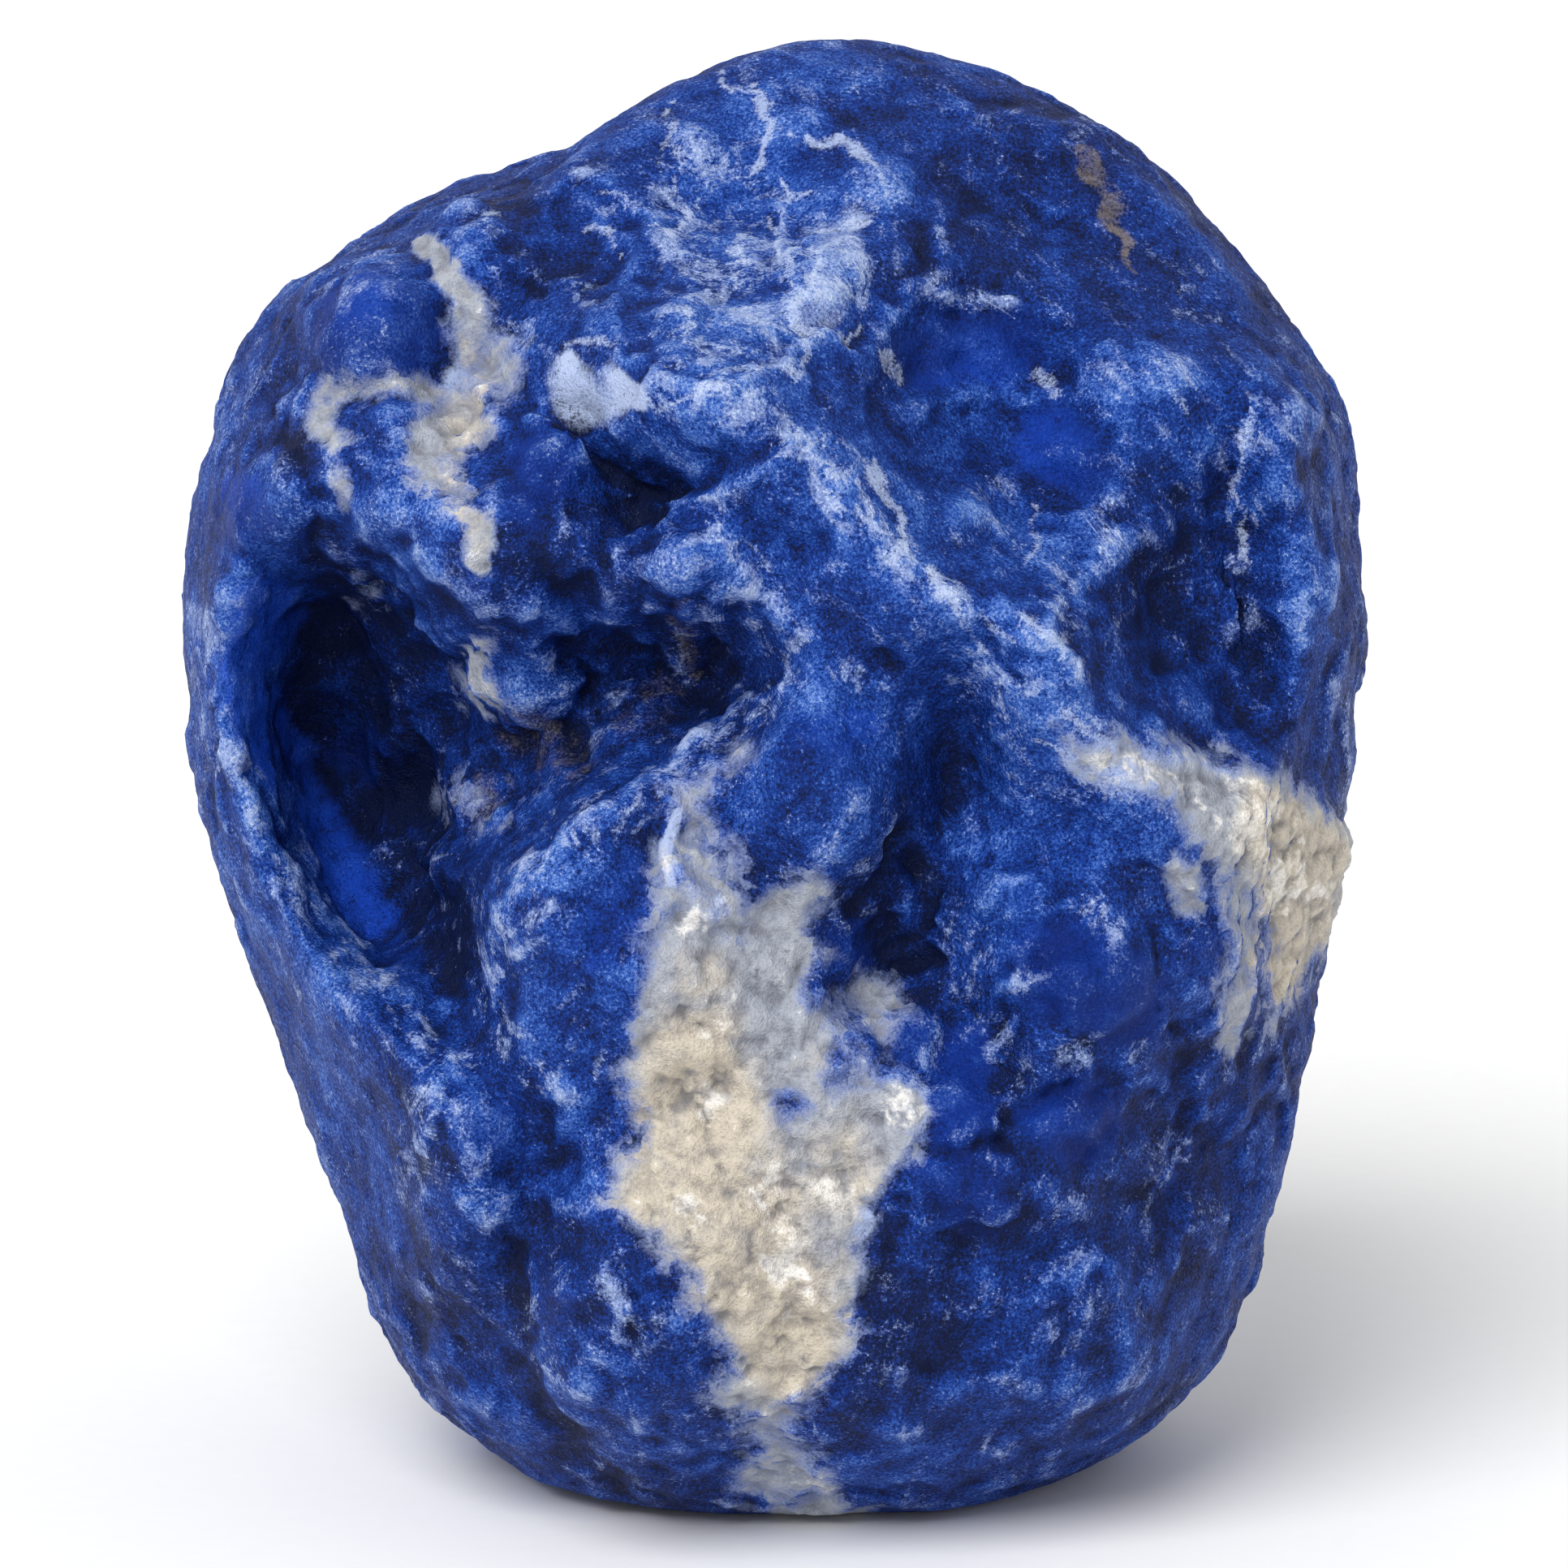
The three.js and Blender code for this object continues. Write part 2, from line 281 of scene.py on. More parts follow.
def close_to(seen, path, margin):
    """The numbers of the places that lie in the path's own box, widened by a margin."""
    low = path[:, :2].min(0) - margin
    high = path[:, :2].max(0) + margin
    return np.flatnonzero(np.all((seen > low) & (seen < high), axis=1))


def beside(spots, start, end):
    """How far along a straight leg each spot lies, from 0 to 1, and its way off the leg."""
    run = end - start
    along = np.clip((spots - start) @ run / max(run @ run, TINY), 0.0, 1.0)
    return along, spots - start - along[:, None] * run


def stroke(seen, path):
    """1 on the line of the stroke, 0 at its half width and beyond."""
    path = np.asarray(path, float)
    result = np.zeros(len(seen))
    near = close_to(seen, path, path[:, 2].max())
    spots = seen[near]
    best = np.zeros(len(near))
    if len(path) == 1:
        path = np.vstack((path, path + (DOT_LENGTH, 0.0, 0.0)))
    for start, end in zip(path[:-1], path[1:]):
        along, off = beside(spots, start[:2], end[:2])
        half = start[2] + along * (end[2] - start[2])
        best = np.maximum(best, 1.0 - np.hypot(off[:, 0], off[:, 1]) / half)
    result[near] = best
    return result


def side_of(seen, path, width):
    """Distance to the left of a walked line, from 0 to width, and -1 away from it or to its right."""
    path = np.asarray(path, float)
    result = np.full(len(seen), -1.0)
    near = close_to(seen, path, width)
    spots = seen[near]
    best = np.full(len(near), np.inf)
    left = np.zeros(len(near))
    for start, end in zip(path[:-1], path[1:]):
        _, off = beside(spots, start, end)
        reach = np.hypot(off[:, 0], off[:, 1])
        run = end - start
        turn = run[0] * (spots[:, 1] - start[1]) - run[1] * (spots[:, 0] - start[0])
        closer = reach < best
        best = np.where(closer, reach, best)
        left = np.where(closer, np.sign(turn), left)
    result[near] = np.where((left > 0) & (best < width), best, -1.0)
    return result


def depth_inside(seen, outline, limit=OUTSIDE):
    """Distance inside a closed outline in millimetres, negative outside it."""
    outline = np.asarray(outline, float)
    result = np.full(len(seen), -limit)
    near = close_to(seen, outline, limit)
    spots = seen[near]
    best = np.full(len(near), limit)
    inside = np.zeros(len(near), bool)
    for start, end in zip(outline, np.roll(outline, -1, axis=0)):
        _, off = beside(spots, start, end)
        best = np.minimum(best, np.hypot(off[:, 0], off[:, 1]))
        run = end - start
        crosses = (start[1] > spots[:, 1]) != (end[1] > spots[:, 1])
        level = (spots[:, 1] - start[1]) / (run[1] if run[1] else TINY)
        inside ^= crosses & (spots[:, 0] < start[0] + level * run[0])
    result[near] = np.where(inside, best, -best)
    return result


def tube(points, path):
    """1 on a line through space, 0 at its half width and beyond. The path holds x, y, z, half."""
    path = np.asarray(path, float)
    best = np.zeros(len(points))
    for start, end in zip(path[:-1], path[1:]):
        along, off = beside(points, start[:3], end[:3])
        half = start[3] + along * (end[3] - start[3])
        best = np.maximum(best, 1.0 - np.sqrt((off ** 2).sum(1)) / half)
    return best


def tell(name, values):
    """Prints the smallest and the largest of some heights."""
    print(name, "from", round(float(values.min()), 2), "to", round(float(values.max()), 2), "mm")


print("half a millimetre off a line", stroke(np.array(((0.0, 0.5),)), ((0.0, 0.0, 1.0),)))

# %% [markdown]
# ## A finer skin
# The solid has a few thousand flat faces, and a broken stone has far smaller ones. New points could
# be laid in by hand, or all over by Remesh, but that would lose the solid's own form. So its corners
# are merged, because it arrives as loose triangles, and Subdivision Surface rounds it into faces
# about 0.3 mm wide. That is fine enough to push single flakes out of it. It is a copy, so the solid
# itself stays.

# %% Copy and subdivide
SAME_SPOT = 1e-6
SKIN_LEVELS = 2


def baked(source, name):
    """The object's mesh with its modifiers worked in."""
    graph = bpy.context.evaluated_depsgraph_get()
    made = bpy.data.meshes.new_from_object(source.evaluated_get(graph), depsgraph=graph)
    made.name = name
    return made


def merged_copy(solid):
    """The solid's own corners, each used once."""
    form = bmesh.new()
    form.from_mesh(solid.data)
    bmesh.ops.remove_doubles(form, verts=form.verts, dist=SAME_SPOT)
    mesh = bpy.data.meshes.new("stone_core")
    form.to_mesh(mesh)
    form.free()
    custom = mesh.attributes.get("custom_normal")
    if custom:
        mesh.attributes.remove(custom)
    mesh.shade_smooth()
    return mesh


def rounded(mesh, levels):
    """The mesh with each face split and rounded a number of times."""
    core = plain_object("stone_core", mesh)
    rounding = core.modifiers.new("rounding", "SUBSURF")
    rounding.levels = levels
    rounding.render_levels = levels
    made = baked(core, "stone_skin")
    bpy.data.objects.remove(core)
    return made


skin = rounded(merged_copy(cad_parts[STONE_NODE]), SKIN_LEVELS)
print("skin", len(skin.vertices), "points")

# %% [markdown]
# ## Lists of the skin's points
# Each later step needs to know where every point lies and which way is out of the stone there. The
# numbers could be read point by point, but whole lists are far quicker. Marks that are drawn as seen
# count only where the surface faces the viewer, and fade out where it turns away.

# %% Places, ways out and what is seen
FACING_RISE = (0.05, 0.35)


def listed(items, name, width, kind=np.float32):
    """One property of all points or edges of a mesh, as rows of numbers."""
    flat = np.empty(len(items) * width, kind)
    items.foreach_get(name, flat)
    return flat.reshape(-1, width)


def point_array(mesh):
    """The mesh's points in millimetres."""
    return listed(mesh.vertices, "co", 3).astype(float) / MM


def normal_array(mesh):
    """The way out of the surface at each point."""
    return listed(mesh.vertex_normals, "vector", 3).astype(float)


skin_points = point_array(skin)
skin_normals = normal_array(skin)
skin_seen = as_seen(skin_points)
skin_facing = towards_viewer(skin_normals, *FACING_RISE)
print("facing the viewer", round(float(skin_facing.mean()) * 100, 1), "% of the points")

# %% [markdown]
# ## Knobs and pits
# The broken face is crowded with rounded knobs, where the mineral parted round a grain, and with small
# sockets that such grains left. Noise alone would put them anywhere, so each is listed: its middle, its
# half width, its half height and how far it stands out. A negative height makes a pit.

# %% The knobs and pits
KNOBS = (
    (-17, 19.2, 3.4, 3, 1.1), (-12.9, 22.6, 1.6, 1.5, .8), (-16, 14.8, 1.3, 1.4, .8),
    (-16.5, 11, 1.9, 1.5, .9), (-15.2, 8.9, 1.4, 1.2, .6), (-21.5, 11.8, 2.1, 2.5, .5),
    (-23.8, 12.9, 1.2, 1.9, .5), (-9.5, 13.4, 1.6, 1.8, .9), (-4.6, 9.2, 1.8, 1.5, .5),
    (-16.7, .8, 1.1, 1.5, .8), (-14.2, -3.6, 1.5, 1.4, .8), (-15, -8, 1.7, 2.3, .9),
    (-10.2, 3.8, 1.8, 1.9, 1.1), (-12.7, -.9, 1.2, 1, .5), (-12.3, 4.2, .9, 1.2, .6),
    (-20.2, 15.8, 1.2, 1, .5), (-19, 13.2, 1, 1, .5), (-11.6, 14.9, 1, 1.3, .5),
    (-11.4, 11.6, 1.2, 1.3, .6), (-8.6, 9.8, 1.4, 1.5, .7), (-9.8, 6.9, 1.5, 1.3, .7),
    (-6.9, 7.4, 1.3, 1.4, .7), (-22.6, 7.6, 1.3, 1.8, .5), (-14.2, 6.2, 1.2, 1.1, .6),
    (-18.1, 9.4, 1.1, 1.3, .6), (-17.6, -3.9, 1.2, 1.4, .4), (-3.7, 5.6, 1.1, 2.1, .6),
    (13.6, -8.6, 2.6, 2.2, .9), (17.6, -7.4, 1.6, 2, .7), (12.6, -14.2, 2.1, 1.2, .7),
    (8.3, -11.5, 1.3, 1.2, .7), (7.8, -13.7, 1.5, 1.2, .7), (5.6, -10.8, 1.3, 1.5, .7),
    (11.1, -11.3, 1.3, 1.2, .6), (8.9, -17.2, 2.5, 1.5, .7), (14.9, -15.9, 1.9, 1.5, .6),
    (18.6, -13.2, 1.5, 2.2, .7), (10.4, -8.7, 1, .9, .5), (10.3, -4.9, 1.5, 1.2, .5),
    (5.4, -5.2, 1, 1.4, .7), (1.6, .2, 2.4, 2.5, .6), (20.4, -12, 1, 1.7, .4),
    (15.2, -12.2, 1.2, 1.2, .5), (11.8, -17.9, 1.5, 1.3, .5), (6.2, -19.6, 1.6, 1.3, .5),
    (17.4, -18.8, 1.4, 1.9, .5), (8.8, -21.2, 1.7, 1.4, .5), (13.4, -21, 1.4, 1.8, .4),
    (5.2, -24.2, 1.6, 1.6, .5), (9.9, -25.1, 1.5, 1.3, .4), (14.8, -24.2, 1.3, 1.8, .4),
    (8, 18.4, 2.2, 1.4, .7), (12, 13.6, 1.7, 1.3, .6), (8.1, 11.2, 1.6, 1.3, .5),
    (12.2, 9.5, 1.8, 1.7, .6), (20.9, 12.6, 1.2, 2.6, .5), (17.6, 13.5, 1.2, 2, .4),
    (16.6, 17, 1.7, 1.5, .4), (10.7, 6.4, 1.5, 1.4, .5), (17, 3.2, 1.8, 1.5, .5),
    (20, 3.4, 1.3, 1.8, .4), (22.6, 9.2, 1.1, 2.1, .4), (22.2, 15, 1, 1.7, .4), (2.2, 21.4, 1.7, 2, .6),
    (-1.4, 22.9, 1.3, 2, .4), (-4.3, 19.4, 1.5, 1.9, .4), (4.6, 24.9, 1.3, 1.2, .4),
    (.8, 27.2, 1.6, 1.5, .4), (-3.4, 26.4, 1.4, 1.2, .4), (-7.5, -3.9, 2.2, 1.5, .5),
    (-9.4, -6.6, 1.8, 1.7, .5), (-6.9, -8.4, 1.4, 1.6, .4), (-12.5, -14.6, 1.7, 2.2, .6),
    (-11.9, -18, 1.5, 1.6, .5), (-8.2, -13.1, 1.4, 1.5, .4), (-8.1, -17.6, 1.8, 1.6, .5),
    (-8.9, -21.3, 1.5, 1.7, .5), (-8.4, -25.6, 1.4, 1.4, .5), (-4.8, -22.7, 1.3, 1.6, .4),
    (-3.4, -27.9, 1.5, 1.3, .4), (-5.9, -26.6, 1.2, 1.4, .4), (-8, 22.2, 2, 1.6, -.6),
    (-5.4, 10.9, 1.2, 1.4, -.8), (-8.5, 1.5, .9, 1.2, -.8), (-11, 1.5, .8, .9, -.6),
    (-5.3, 4.3, 1.2, 1.5, -.4), (-19.3, 6, 1.5, 1.6, -.8), (5.9, -7.8, 1.1, .9, -1),
    (5.1, -3.1, .7, 1.5, -.6), (15.2, 7.6, 1.3, 2.2, -.4), (16.9, -10.6, .8, .6, -.7),
    (4.6, 4.8, .6, .5, -.5), (20.1, 7, .5, .9, -.2), (-15.5, -3.9, .8, 1.2, -.7),
    (-13.6, 2.2, 1, 1, -.6), (6.8, -15.4, .9, .6, -.6), (9.8, -15.6, 1.1, .6, -.7),
    (4.9, -17.9, .8, .6, -.4), (-2.4, 13.4, 1, .7, -.4), (11.2, 17.1, 1.5, 1.1, -.4),
    (-13.6, 25, 1.5, 1, -.4), (1.7, 9.6, .9, .8, -.4),
)
print(len(KNOBS), "knobs and pits")

# %% [markdown]
# ## The height of the knobs
# A few broad swells and dips carry the form between the knobs: the gully at the left, the bowl's
# rim at the right and the shelf over the large hollow. All of them add up to one height. Modelling
# each as its own ball would leave seams, and a sum of heights has none. The small ones have steep
# sides and the broad ones gentle sides. Noise shakes the edges, so that none is a true circle.

# %% Broad swells, and all as one height
BROAD_SWELLS = (
    (-17.6, 3, 4.2, 7.4, -1), (-16.4, -3, 3.2, 5.8, -1.3), (16.8, 9, 4.6, 7, 1.5),
    (19.8, 6.6, 3, 4.4, .9), (-6, 3.6, 3.8, 3.6, 1), (-10.6, -13, 2.6, 4, .8),
)
SWELL_SETS = ((KNOBS, 0.85, 0.85), (BROAD_SWELLS, 1.6, 1.0))
KNOB_WAVES = ((1.3, (3, 5), 0.65),)


def knob_relief(points, seen):
    """Every knob, pit and swell as one height. A set comes with its steepness and its share."""
    spots = shaken(seen, points, KNOB_WAVES)
    height = np.zeros(len(points))
    for swells, steepness, share in SWELL_SETS:
        for across, up, half_across, half_up, rise in swells:
            squared = ((spots[:, 0] - across) / half_across) ** 2
            squared += ((spots[:, 1] - up) / half_up) ** 2
            height += share * rise * np.clip(1.0 - squared, 0.0, 1.0) ** steepness
    return height


knob_height = knob_relief(skin_points, skin_seen)
tell("knobs", knob_height)

# %% [markdown]
# ## Cracks
# Cracks are dark, narrow and bent. They could be cut out as wedges, but a stroke that lowers the
# skin follows the knobs by itself. The depth comes first, then the spots of the stroke as across,
# up and half width.

# %% The cracks
CRACKS = (
    (1.3, ((-8.3, 14.3, .3), (-7.8, 13.2, .4), (-7, 12.5, .4), (-6.2, 12.2, .4), (-3.9, 11.7, .3))),
    (.8, ((6.8, -4.9, .2), (6.1, -6.3, .35), (5.1, -7.3, .3))),
    (.9, ((5.6, -1.9, .3), (4.3, -4, .45), (3.2, -5.6, .3))),
    (.7, ((9.9, -8.8, .2), (9.5, -10, .3), (9, -10.6, .2))),
    (.8, ((12.4, -12.9, .2), (11.4, -13.3, .35), (10, -14.1, .35), (9.1, -15, .35), (7.7, -15.6, .2))),
    (.4, ((8.2, .8, .2), (8.5, -1.4, .25), (8.6, -3.2, .25), (9.1, -4.4, .2))),
    (.6, ((8.9, 6.6, .2), (9.3, 5.2, .3), (10.1, 4.1, .2))),
    (.3, ((-12.4, -9.2, .3), (-11.6, -10.5, .5), (-10.4, -12, .5), (-9.4, -13.4, .4),
          (-8.9, -15.2, .3))),
    (.6, ((-11, -19.6, .4), (-10.9, -22, .6), (-10.6, -24, .6), (-10.1, -26.2, .6), (-8.6, -28.4, .5),
          (-6.4, -29.8, .4))),
    (.6, ((-12.4, 19.1, .2), (-11, 18.6, .35), (-9.5, 18.2, .2))),
    (.2, ((20.2, 8.2, .2), (20, 7, .3), (19.7, 5.8, .2))),
    (.6, ((17.4, -11.1, .2), (16.9, -10.6, .3), (16.1, -10.6, .2))),
    (.6, ((-6.3, -21.2, .3), (-5.9, -22.6, .45), (-6.5, -24.1, .3))),
    (.5, ((-20.8, 14.2, .3), (-20.2, 13.4, .35), (-19.4, 11.2, .3), (-19.3, 9.2, .3))),
    (.6, ((-7.3, 9.3, .3), (-6.3, 8.6, .35), (-5.9, 7.3, .3))),
    (.5, ((-8.9, 5.6, .3), (-7.9, 4.4, .4), (-8.3, 3, .3))),
    (.5, ((-12.7, 2.3, .3), (-12, .7, .4), (-10.9, -.7, .3), (-11.2, -2.3, .3))),
    (.4, ((4.1, 5.2, .2), (4.6, 4.6, .3), (5.3, 4.3, .2))),
    (.5, ((-15.8, -10.3, .3), (-13.7, -9.2, .35), (-12.6, -8.9, .3))),
    (.4, ((16.9, -13.8, .2), (17, -15.4, .3), (16.3, -16.9, .3), (15.6, -18.2, .2))),
    (.4, ((13.6, -19.9, .2), (12.4, -22.6, .3), (11.5, -26.4, .2))),
    (.5, ((3.9, -18.6, .2), (3.4, -20.4, .3), (3.8, -22.2, .2))),
)
print(len(CRACKS), "cracks")

# %% [markdown]
# ## Crests
# Crests are the sharp ridges between two scoops. They are drawn like the cracks but stand out, since
# a ridge is a crack turned over.

# %% The crests
CRESTS = (
    (.4, ((20.2, 15.8, .5), (19.8, 13.5, .7), (19.5, 12, .7), (19.3, 10.5, .7), (19.8, 9, .6),
          (19.7, 7.4, .5))),
    (.3, ((-3, 11, .6), (-2, 9.4, .8), (-.8, 7.6, .9), (.5, 6.2, .6))),
    (.25, ((1.3, 14.3, .6), (2.8, 12.5, .9), (4.2, 11, .9), (5.4, 9.6, .9), (7.3, 7.7, .8),
           (9, 6.4, .6))),
    (.5, ((11.3, 6.6, .6), (11.9, 5.6, .8), (12.6, 4.2, .6))),
    (.6, ((0, 3.7, .5), (-1.6, 2.7, .8), (-4.5, .4, .8), (-8.5, -2.3, .8), (-10.5, -3.8, .8),
          (-12, -6.8, .8), (-12, -9.4, .5))),
    (.5, ((-24.3, 7, .5), (-24, 3, .7), (-22.9, 1.2, .8), (-22, -1.2, .8), (-20.5, -3.8, .8),
          (-17.5, -7.4, .8), (-15, -11, .6))),
    (.5, ((6.6, 20.3, .5), (8.5, 20.1, .8), (10.1, 20, .5))),
    (.3, ((14.2, 12.2, .5), (13.9, 10, .7), (12.7, 8, .5))),
    (.4, ((9, -4.2, .5), (10.3, -4.3, .6), (11.2, -4.9, .6), (11.2, -5.9, .4))),
    (.5, ((-14.8, -15.4, .5), (-14.2, -13, .8), (-13.4, -11.8, .6))),
    (.5, ((.2, 24.2, .5), (.6, 21, .7), (.9, 19.6, .6))),
    (.5, ((12.4, -5.5, .5), (11.3, -6, .8), (10.3, -7.2, .7), (9.5, -9.4, .5))),
    (.4, ((17.6, -12.6, .4), (17.3, -14.6, .6), (16.6, -16.3, .6), (15.6, -18, .4))),
    (.4, ((-7.3, -20.6, .4), (-6.5, -21.6, .6), (-6.6, -23.2, .5))),
)
print(len(CRESTS), "crests")

# %% [markdown]
# ## Ledges
# A ledge is where a flake has split away: the surface is level on one side and drops at once on the
# other. A stroke is the same on both sides, so a ledge is walked along its lip instead, with the
# high side on the left. Its height and the width of its high side come first. [::-1] walks a lip
# from its end.

# %% The ledges
LEDGES = (
    (.6, 2.2, ((6.4, 22.6), (6.3, 21.6), (5.8, 20.8), (5.2, 20.9), (4.3, 19.5), (3.6, 18.1),
               (3.2, 17.9), (2.8, 18.7), (2.2, 18.6), (1.7, 18.9), (1.2, 18.5), (.6, 18.7), (.1, 17.5),
               (-.5, 17.2))),
    (.9, 3, ((-1, 13.4), (-2.4, 12.6), (-3.6, 11.8), (-4.6, 12.1), (-6.2, 12.3), (-7.4, 12.9),
             (-8.2, 14.1))),
    (.5, 1.8, ((-5.7, 16.4), (-6.2, 15.5), (-7.5, 15.1), (-8.4, 13.9), (-9.3, 15.5))),
    (.2, 1.6, ((14.2, 10.9), (12.6, 8.9), (12.4, 7.5), (11.1, 9.2), (9.2, 9.4))),
    (.5, 2, ((-2.4, 8.2), (-3.2, 7.5), (-5.6, 7.7), (-6.1, 8.9))),
    (.4, 1.6, ((5.2, -9.4), (4.3, -10.9), (4.3, -12.2), (5.6, -13), (6.1, -14.2), (5.8, -15.5),
               (4.3, -17.2))[::-1]),
    (.4, 1.6, ((12.8, -11), (13.8, -13), (11.8, -13), (10.6, -13.8), (9.2, -14.8), (7.4, -15.4))[::-1]),
    (.4, 1.5, ((-5, -1.4), (-4.9, -3.6), (-4.1, -4.9), (-3, -5.9), (-1.9, -6.1))),
    (.4, 1.8, ((-5.9, 20.8), (-6.6, 19.4), (-6.2, 17.9), (-4.6, 17.2), (-2.6, 16.9))[::-1]),
    (.4, 1.6, ((-9.2, 24.3), (-8.2, 24.9), (-6.6, 24.2), (-5.6, 22.8))),
    (.4, 1.6, ((10.3, 15.4), (8.2, 15.9), (6.4, 15.2))[::-1]),
    (.4, 2, ((16.1, -3.9), (17.9, -5.2), (18.6, -7.9), (18.1, -9.6))),
    (.4, 1.6, ((8.9, -18.6), (6.9, -18.9), (5, -18.2))[::-1]),
)
print(len(LEDGES), "ledges")

# %% [markdown]
# ## The height of the drawn lines
# Cracks, crests and ledges are worked out together, because one shaking of their places serves all
# three. A crack is cut with steep sides, a crest is rounded at its top, and a ledge rises from its
# lip at once and then runs out over its width.

# %% Cracks, crests and ledges as one height
CRACK_DEPTH = 0.55
CRACK_STEEPNESS = 0.8
CREST_HEIGHT = 0.7
CREST_TOP = 1.15
LIP_RISE = (-0.05, 0.22)
DRAWN_WAVES = ((1.2, (13, 15), 0.4), (0.4, (14, 16), 0.15))


def drawn_relief(points, seen):
    """Cracks, crests and ledges as one height."""
    spots = shaken(seen, points, DRAWN_WAVES)
    height = np.zeros(len(points))
    for depth, path in CRACKS:
        height -= CRACK_DEPTH * depth * stroke(spots, path) ** CRACK_STEEPNESS
    for rise, path in CRESTS:
        height += CREST_HEIGHT * rise * eased(stroke(spots, path), 0.0, CREST_TOP)
    for rise, width, path in LEDGES:
        away = side_of(spots, path, width)
        lip = rise * (1.0 - away / width) * eased(away, *LIP_RISE)
        height += np.where(away >= 0.0, lip, 0.0)
    return height


line_height = drawn_relief(skin_points, skin_seen)
tell("lines", line_height)

# %% [markdown]
# ## Calcite patches
# The large patch fills the lower middle of the face, and a broad vein runs off to the right side.
# They could be loose pieces set into the stone, but calcite grows into it without a gap, so they are
# outlines on the same skin. They are drawn before the surface is finished, because calcite breaks
# into sugary lumps and not into scoops.

# %% The large patch and the right vein
BIG_PATCH = (
    (-1.6, 1.5), (-3, 1.3), (-4.3, 0), (-4.8, -1.5), (-5, -4), (-5, -5.5), (-5.5, -7), (-5.9, -9.5),
    (-5.7, -11), (-6.5, -12.6), (-5.8, -14), (-5.6, -15.5), (-6.8, -16.6), (-7.4, -17.5), (-6.3, -18.3),
    (-4.9, -19.2), (-3.8, -21), (-3.1, -22.2), (-2.6, -23.2), (-1.8, -24.3), (-1.6, -25), (-2.9, -25.8),
    (-2.2, -26.4), (-1.4, -26.9), (-1.2, -28), (-1.6, -29), (-1.5, -30), (-.7, -31.5), (1, -31.5),
    (1.9, -30.2), (2.1, -29.2), (1.4, -28), (1.1, -27), (1.6, -26), (2.2, -24.8), (3, -23.5),
    (3.6, -22), (3.4, -20.4), (3.2, -19.5), (3.9, -18.8), (4.2, -17.5), (5, -16.4), (5.8, -15.4),
    (6.1, -14), (5.5, -12.9), (4.4, -12.3), (4.2, -11), (5, -10), (4.8, -9), (4, -8.2), (1.9, -8),
    (1.4, -6.4), (2, -5), (1.4, -4.2), (.2, -4.6), (-1, -5), (-1.4, -3.6), (-1.9, -2.4), (-2.6, -1.4),
    (-2, 0), (-1, 1),
)
RIGHT_VEIN = (
    (11.8, 2.2), (13, 1.7), (15, 1.4), (17, 1.2), (18.4, 1), (19, .2), (20.2, .3), (21.2, .1),
    (22.3, -1), (23.7, -1.9), (26, -2.4), (26, -6.5), (23.2, -6.8), (22.4, -8), (21.7, -9.5),
    (20.7, -10.4), (20.3, -9), (20.3, -8), (20.9, -6.8), (20.4, -6), (19.6, -4.6), (18.6, -4),
    (17.9, -3), (17.4, -2), (16.8, -1), (15, -.3), (13.6, .1), (12.3, .9),
)
print("outlines of", len(BIG_PATCH), "and", len(RIGHT_VEIN), "spots")

# %% [markdown]
# ## Thin veins
# Thin veins wind through the upper left, and a few small islands lie beside them. They are strokes
# on the plate. The viewer's plate can't tell where a vein runs round the sides and the back, so
# there it is a line through space: across, backwards, up and half width, from the heart.

# %% Thin veins and the veins round the sides
THIN_VEINS = (
    ((-14.8, 22.6, .5), (-13.8, 21.2, .6), (-13.2, 20.3, .7), (-13, 18.6, 1.4), (-12.7, 17.2, 1.6),
     (-13.2, 15.5, 1.2), (-14, 13.4, 1.5), (-13.6, 12.2, 1.2), (-13, 11, .8), (-12.5, 9.6, .5),
     (-12.2, 8.7, .3)),
    ((-13.9, 16.3, .8), (-15.2, 16.2, .6), (-16.5, 16.5, .6), (-18.2, 16.2, .7), (-19.1, 15.3, .6),
     (-18.6, 14.1, .4)),
    ((-18.4, 12.9, .3), (-18.3, 11.7, .3)), ((-17, 7.9, .5), (-16.8, 7.8, .5)),
    ((19.1, -5, .5), (19.4, -6, .6), (19.8, -7, .6), (19.5, -8.5, .6), (19.2, -10, .5),
     (19, -11.2, .3)),
    ((-12.9, -.8, .9), (-12.4, -1.1, .9)), ((-12.4, 5.4, .5), (-12.6, 4.4, .8), (-12.3, 3.4, .6)),
    ((16.6, -3.9, .4), (17.2, -4.8, .6), (17.8, -5.2, .3)),
)
SIDE_VEINS = (
    ((21.8, -10, -4.2, 2.2), (23.2, -7, -4.4, 2.6), (23.6, -4, -4.4, 2.6), (23.4, 1, -5.2, 3.2),
     (21.5, 7, -6.5, 3), (18.5, 12, -9, 2.2), (14, 16, -10, 1.4), (9, 18.5, -9, .8)),
    ((20.6, 9, -6, 1.5), (19.5, 12, -1, 1.3), (17, 15, 4, 1), (13, 17.5, 8, .5)),
    ((.3, -11, -30, 1.7), (1.5, -7, -31, 2.2), (3, -2, -31, 1.8), (6, 3, -31, 1.2), (9, 8, -28.5, .7)),
    ((-14.6, -3, 22.6, .7), (-13, 2, 24, 1.1), (-11, 7, 23.6, 1.6), (-10, 12, 20.5, 1.9),
     (-10.6, 15.5, 15, 1.4), (-12.5, 16.2, 9, .9), (-13, 16.4, 4, .5)),
    ((-3.5, 19.8, 6, 1), (-2, 20.5, 1, 2.6), (-4.5, 20.2, -5, 3.2), (-9, 17.5, -10, 2.4),
     (-12.5, 14, -15, 1.3), (-13.5, 9.5, -21, .8)),
    ((-1, 20.6, -3, 1.2), (3, 20, -6, 1), (6, 18.6, -12, .7)),
)
print(len(THIN_VEINS), "thin veins and", len(SIDE_VEINS), "round the sides")

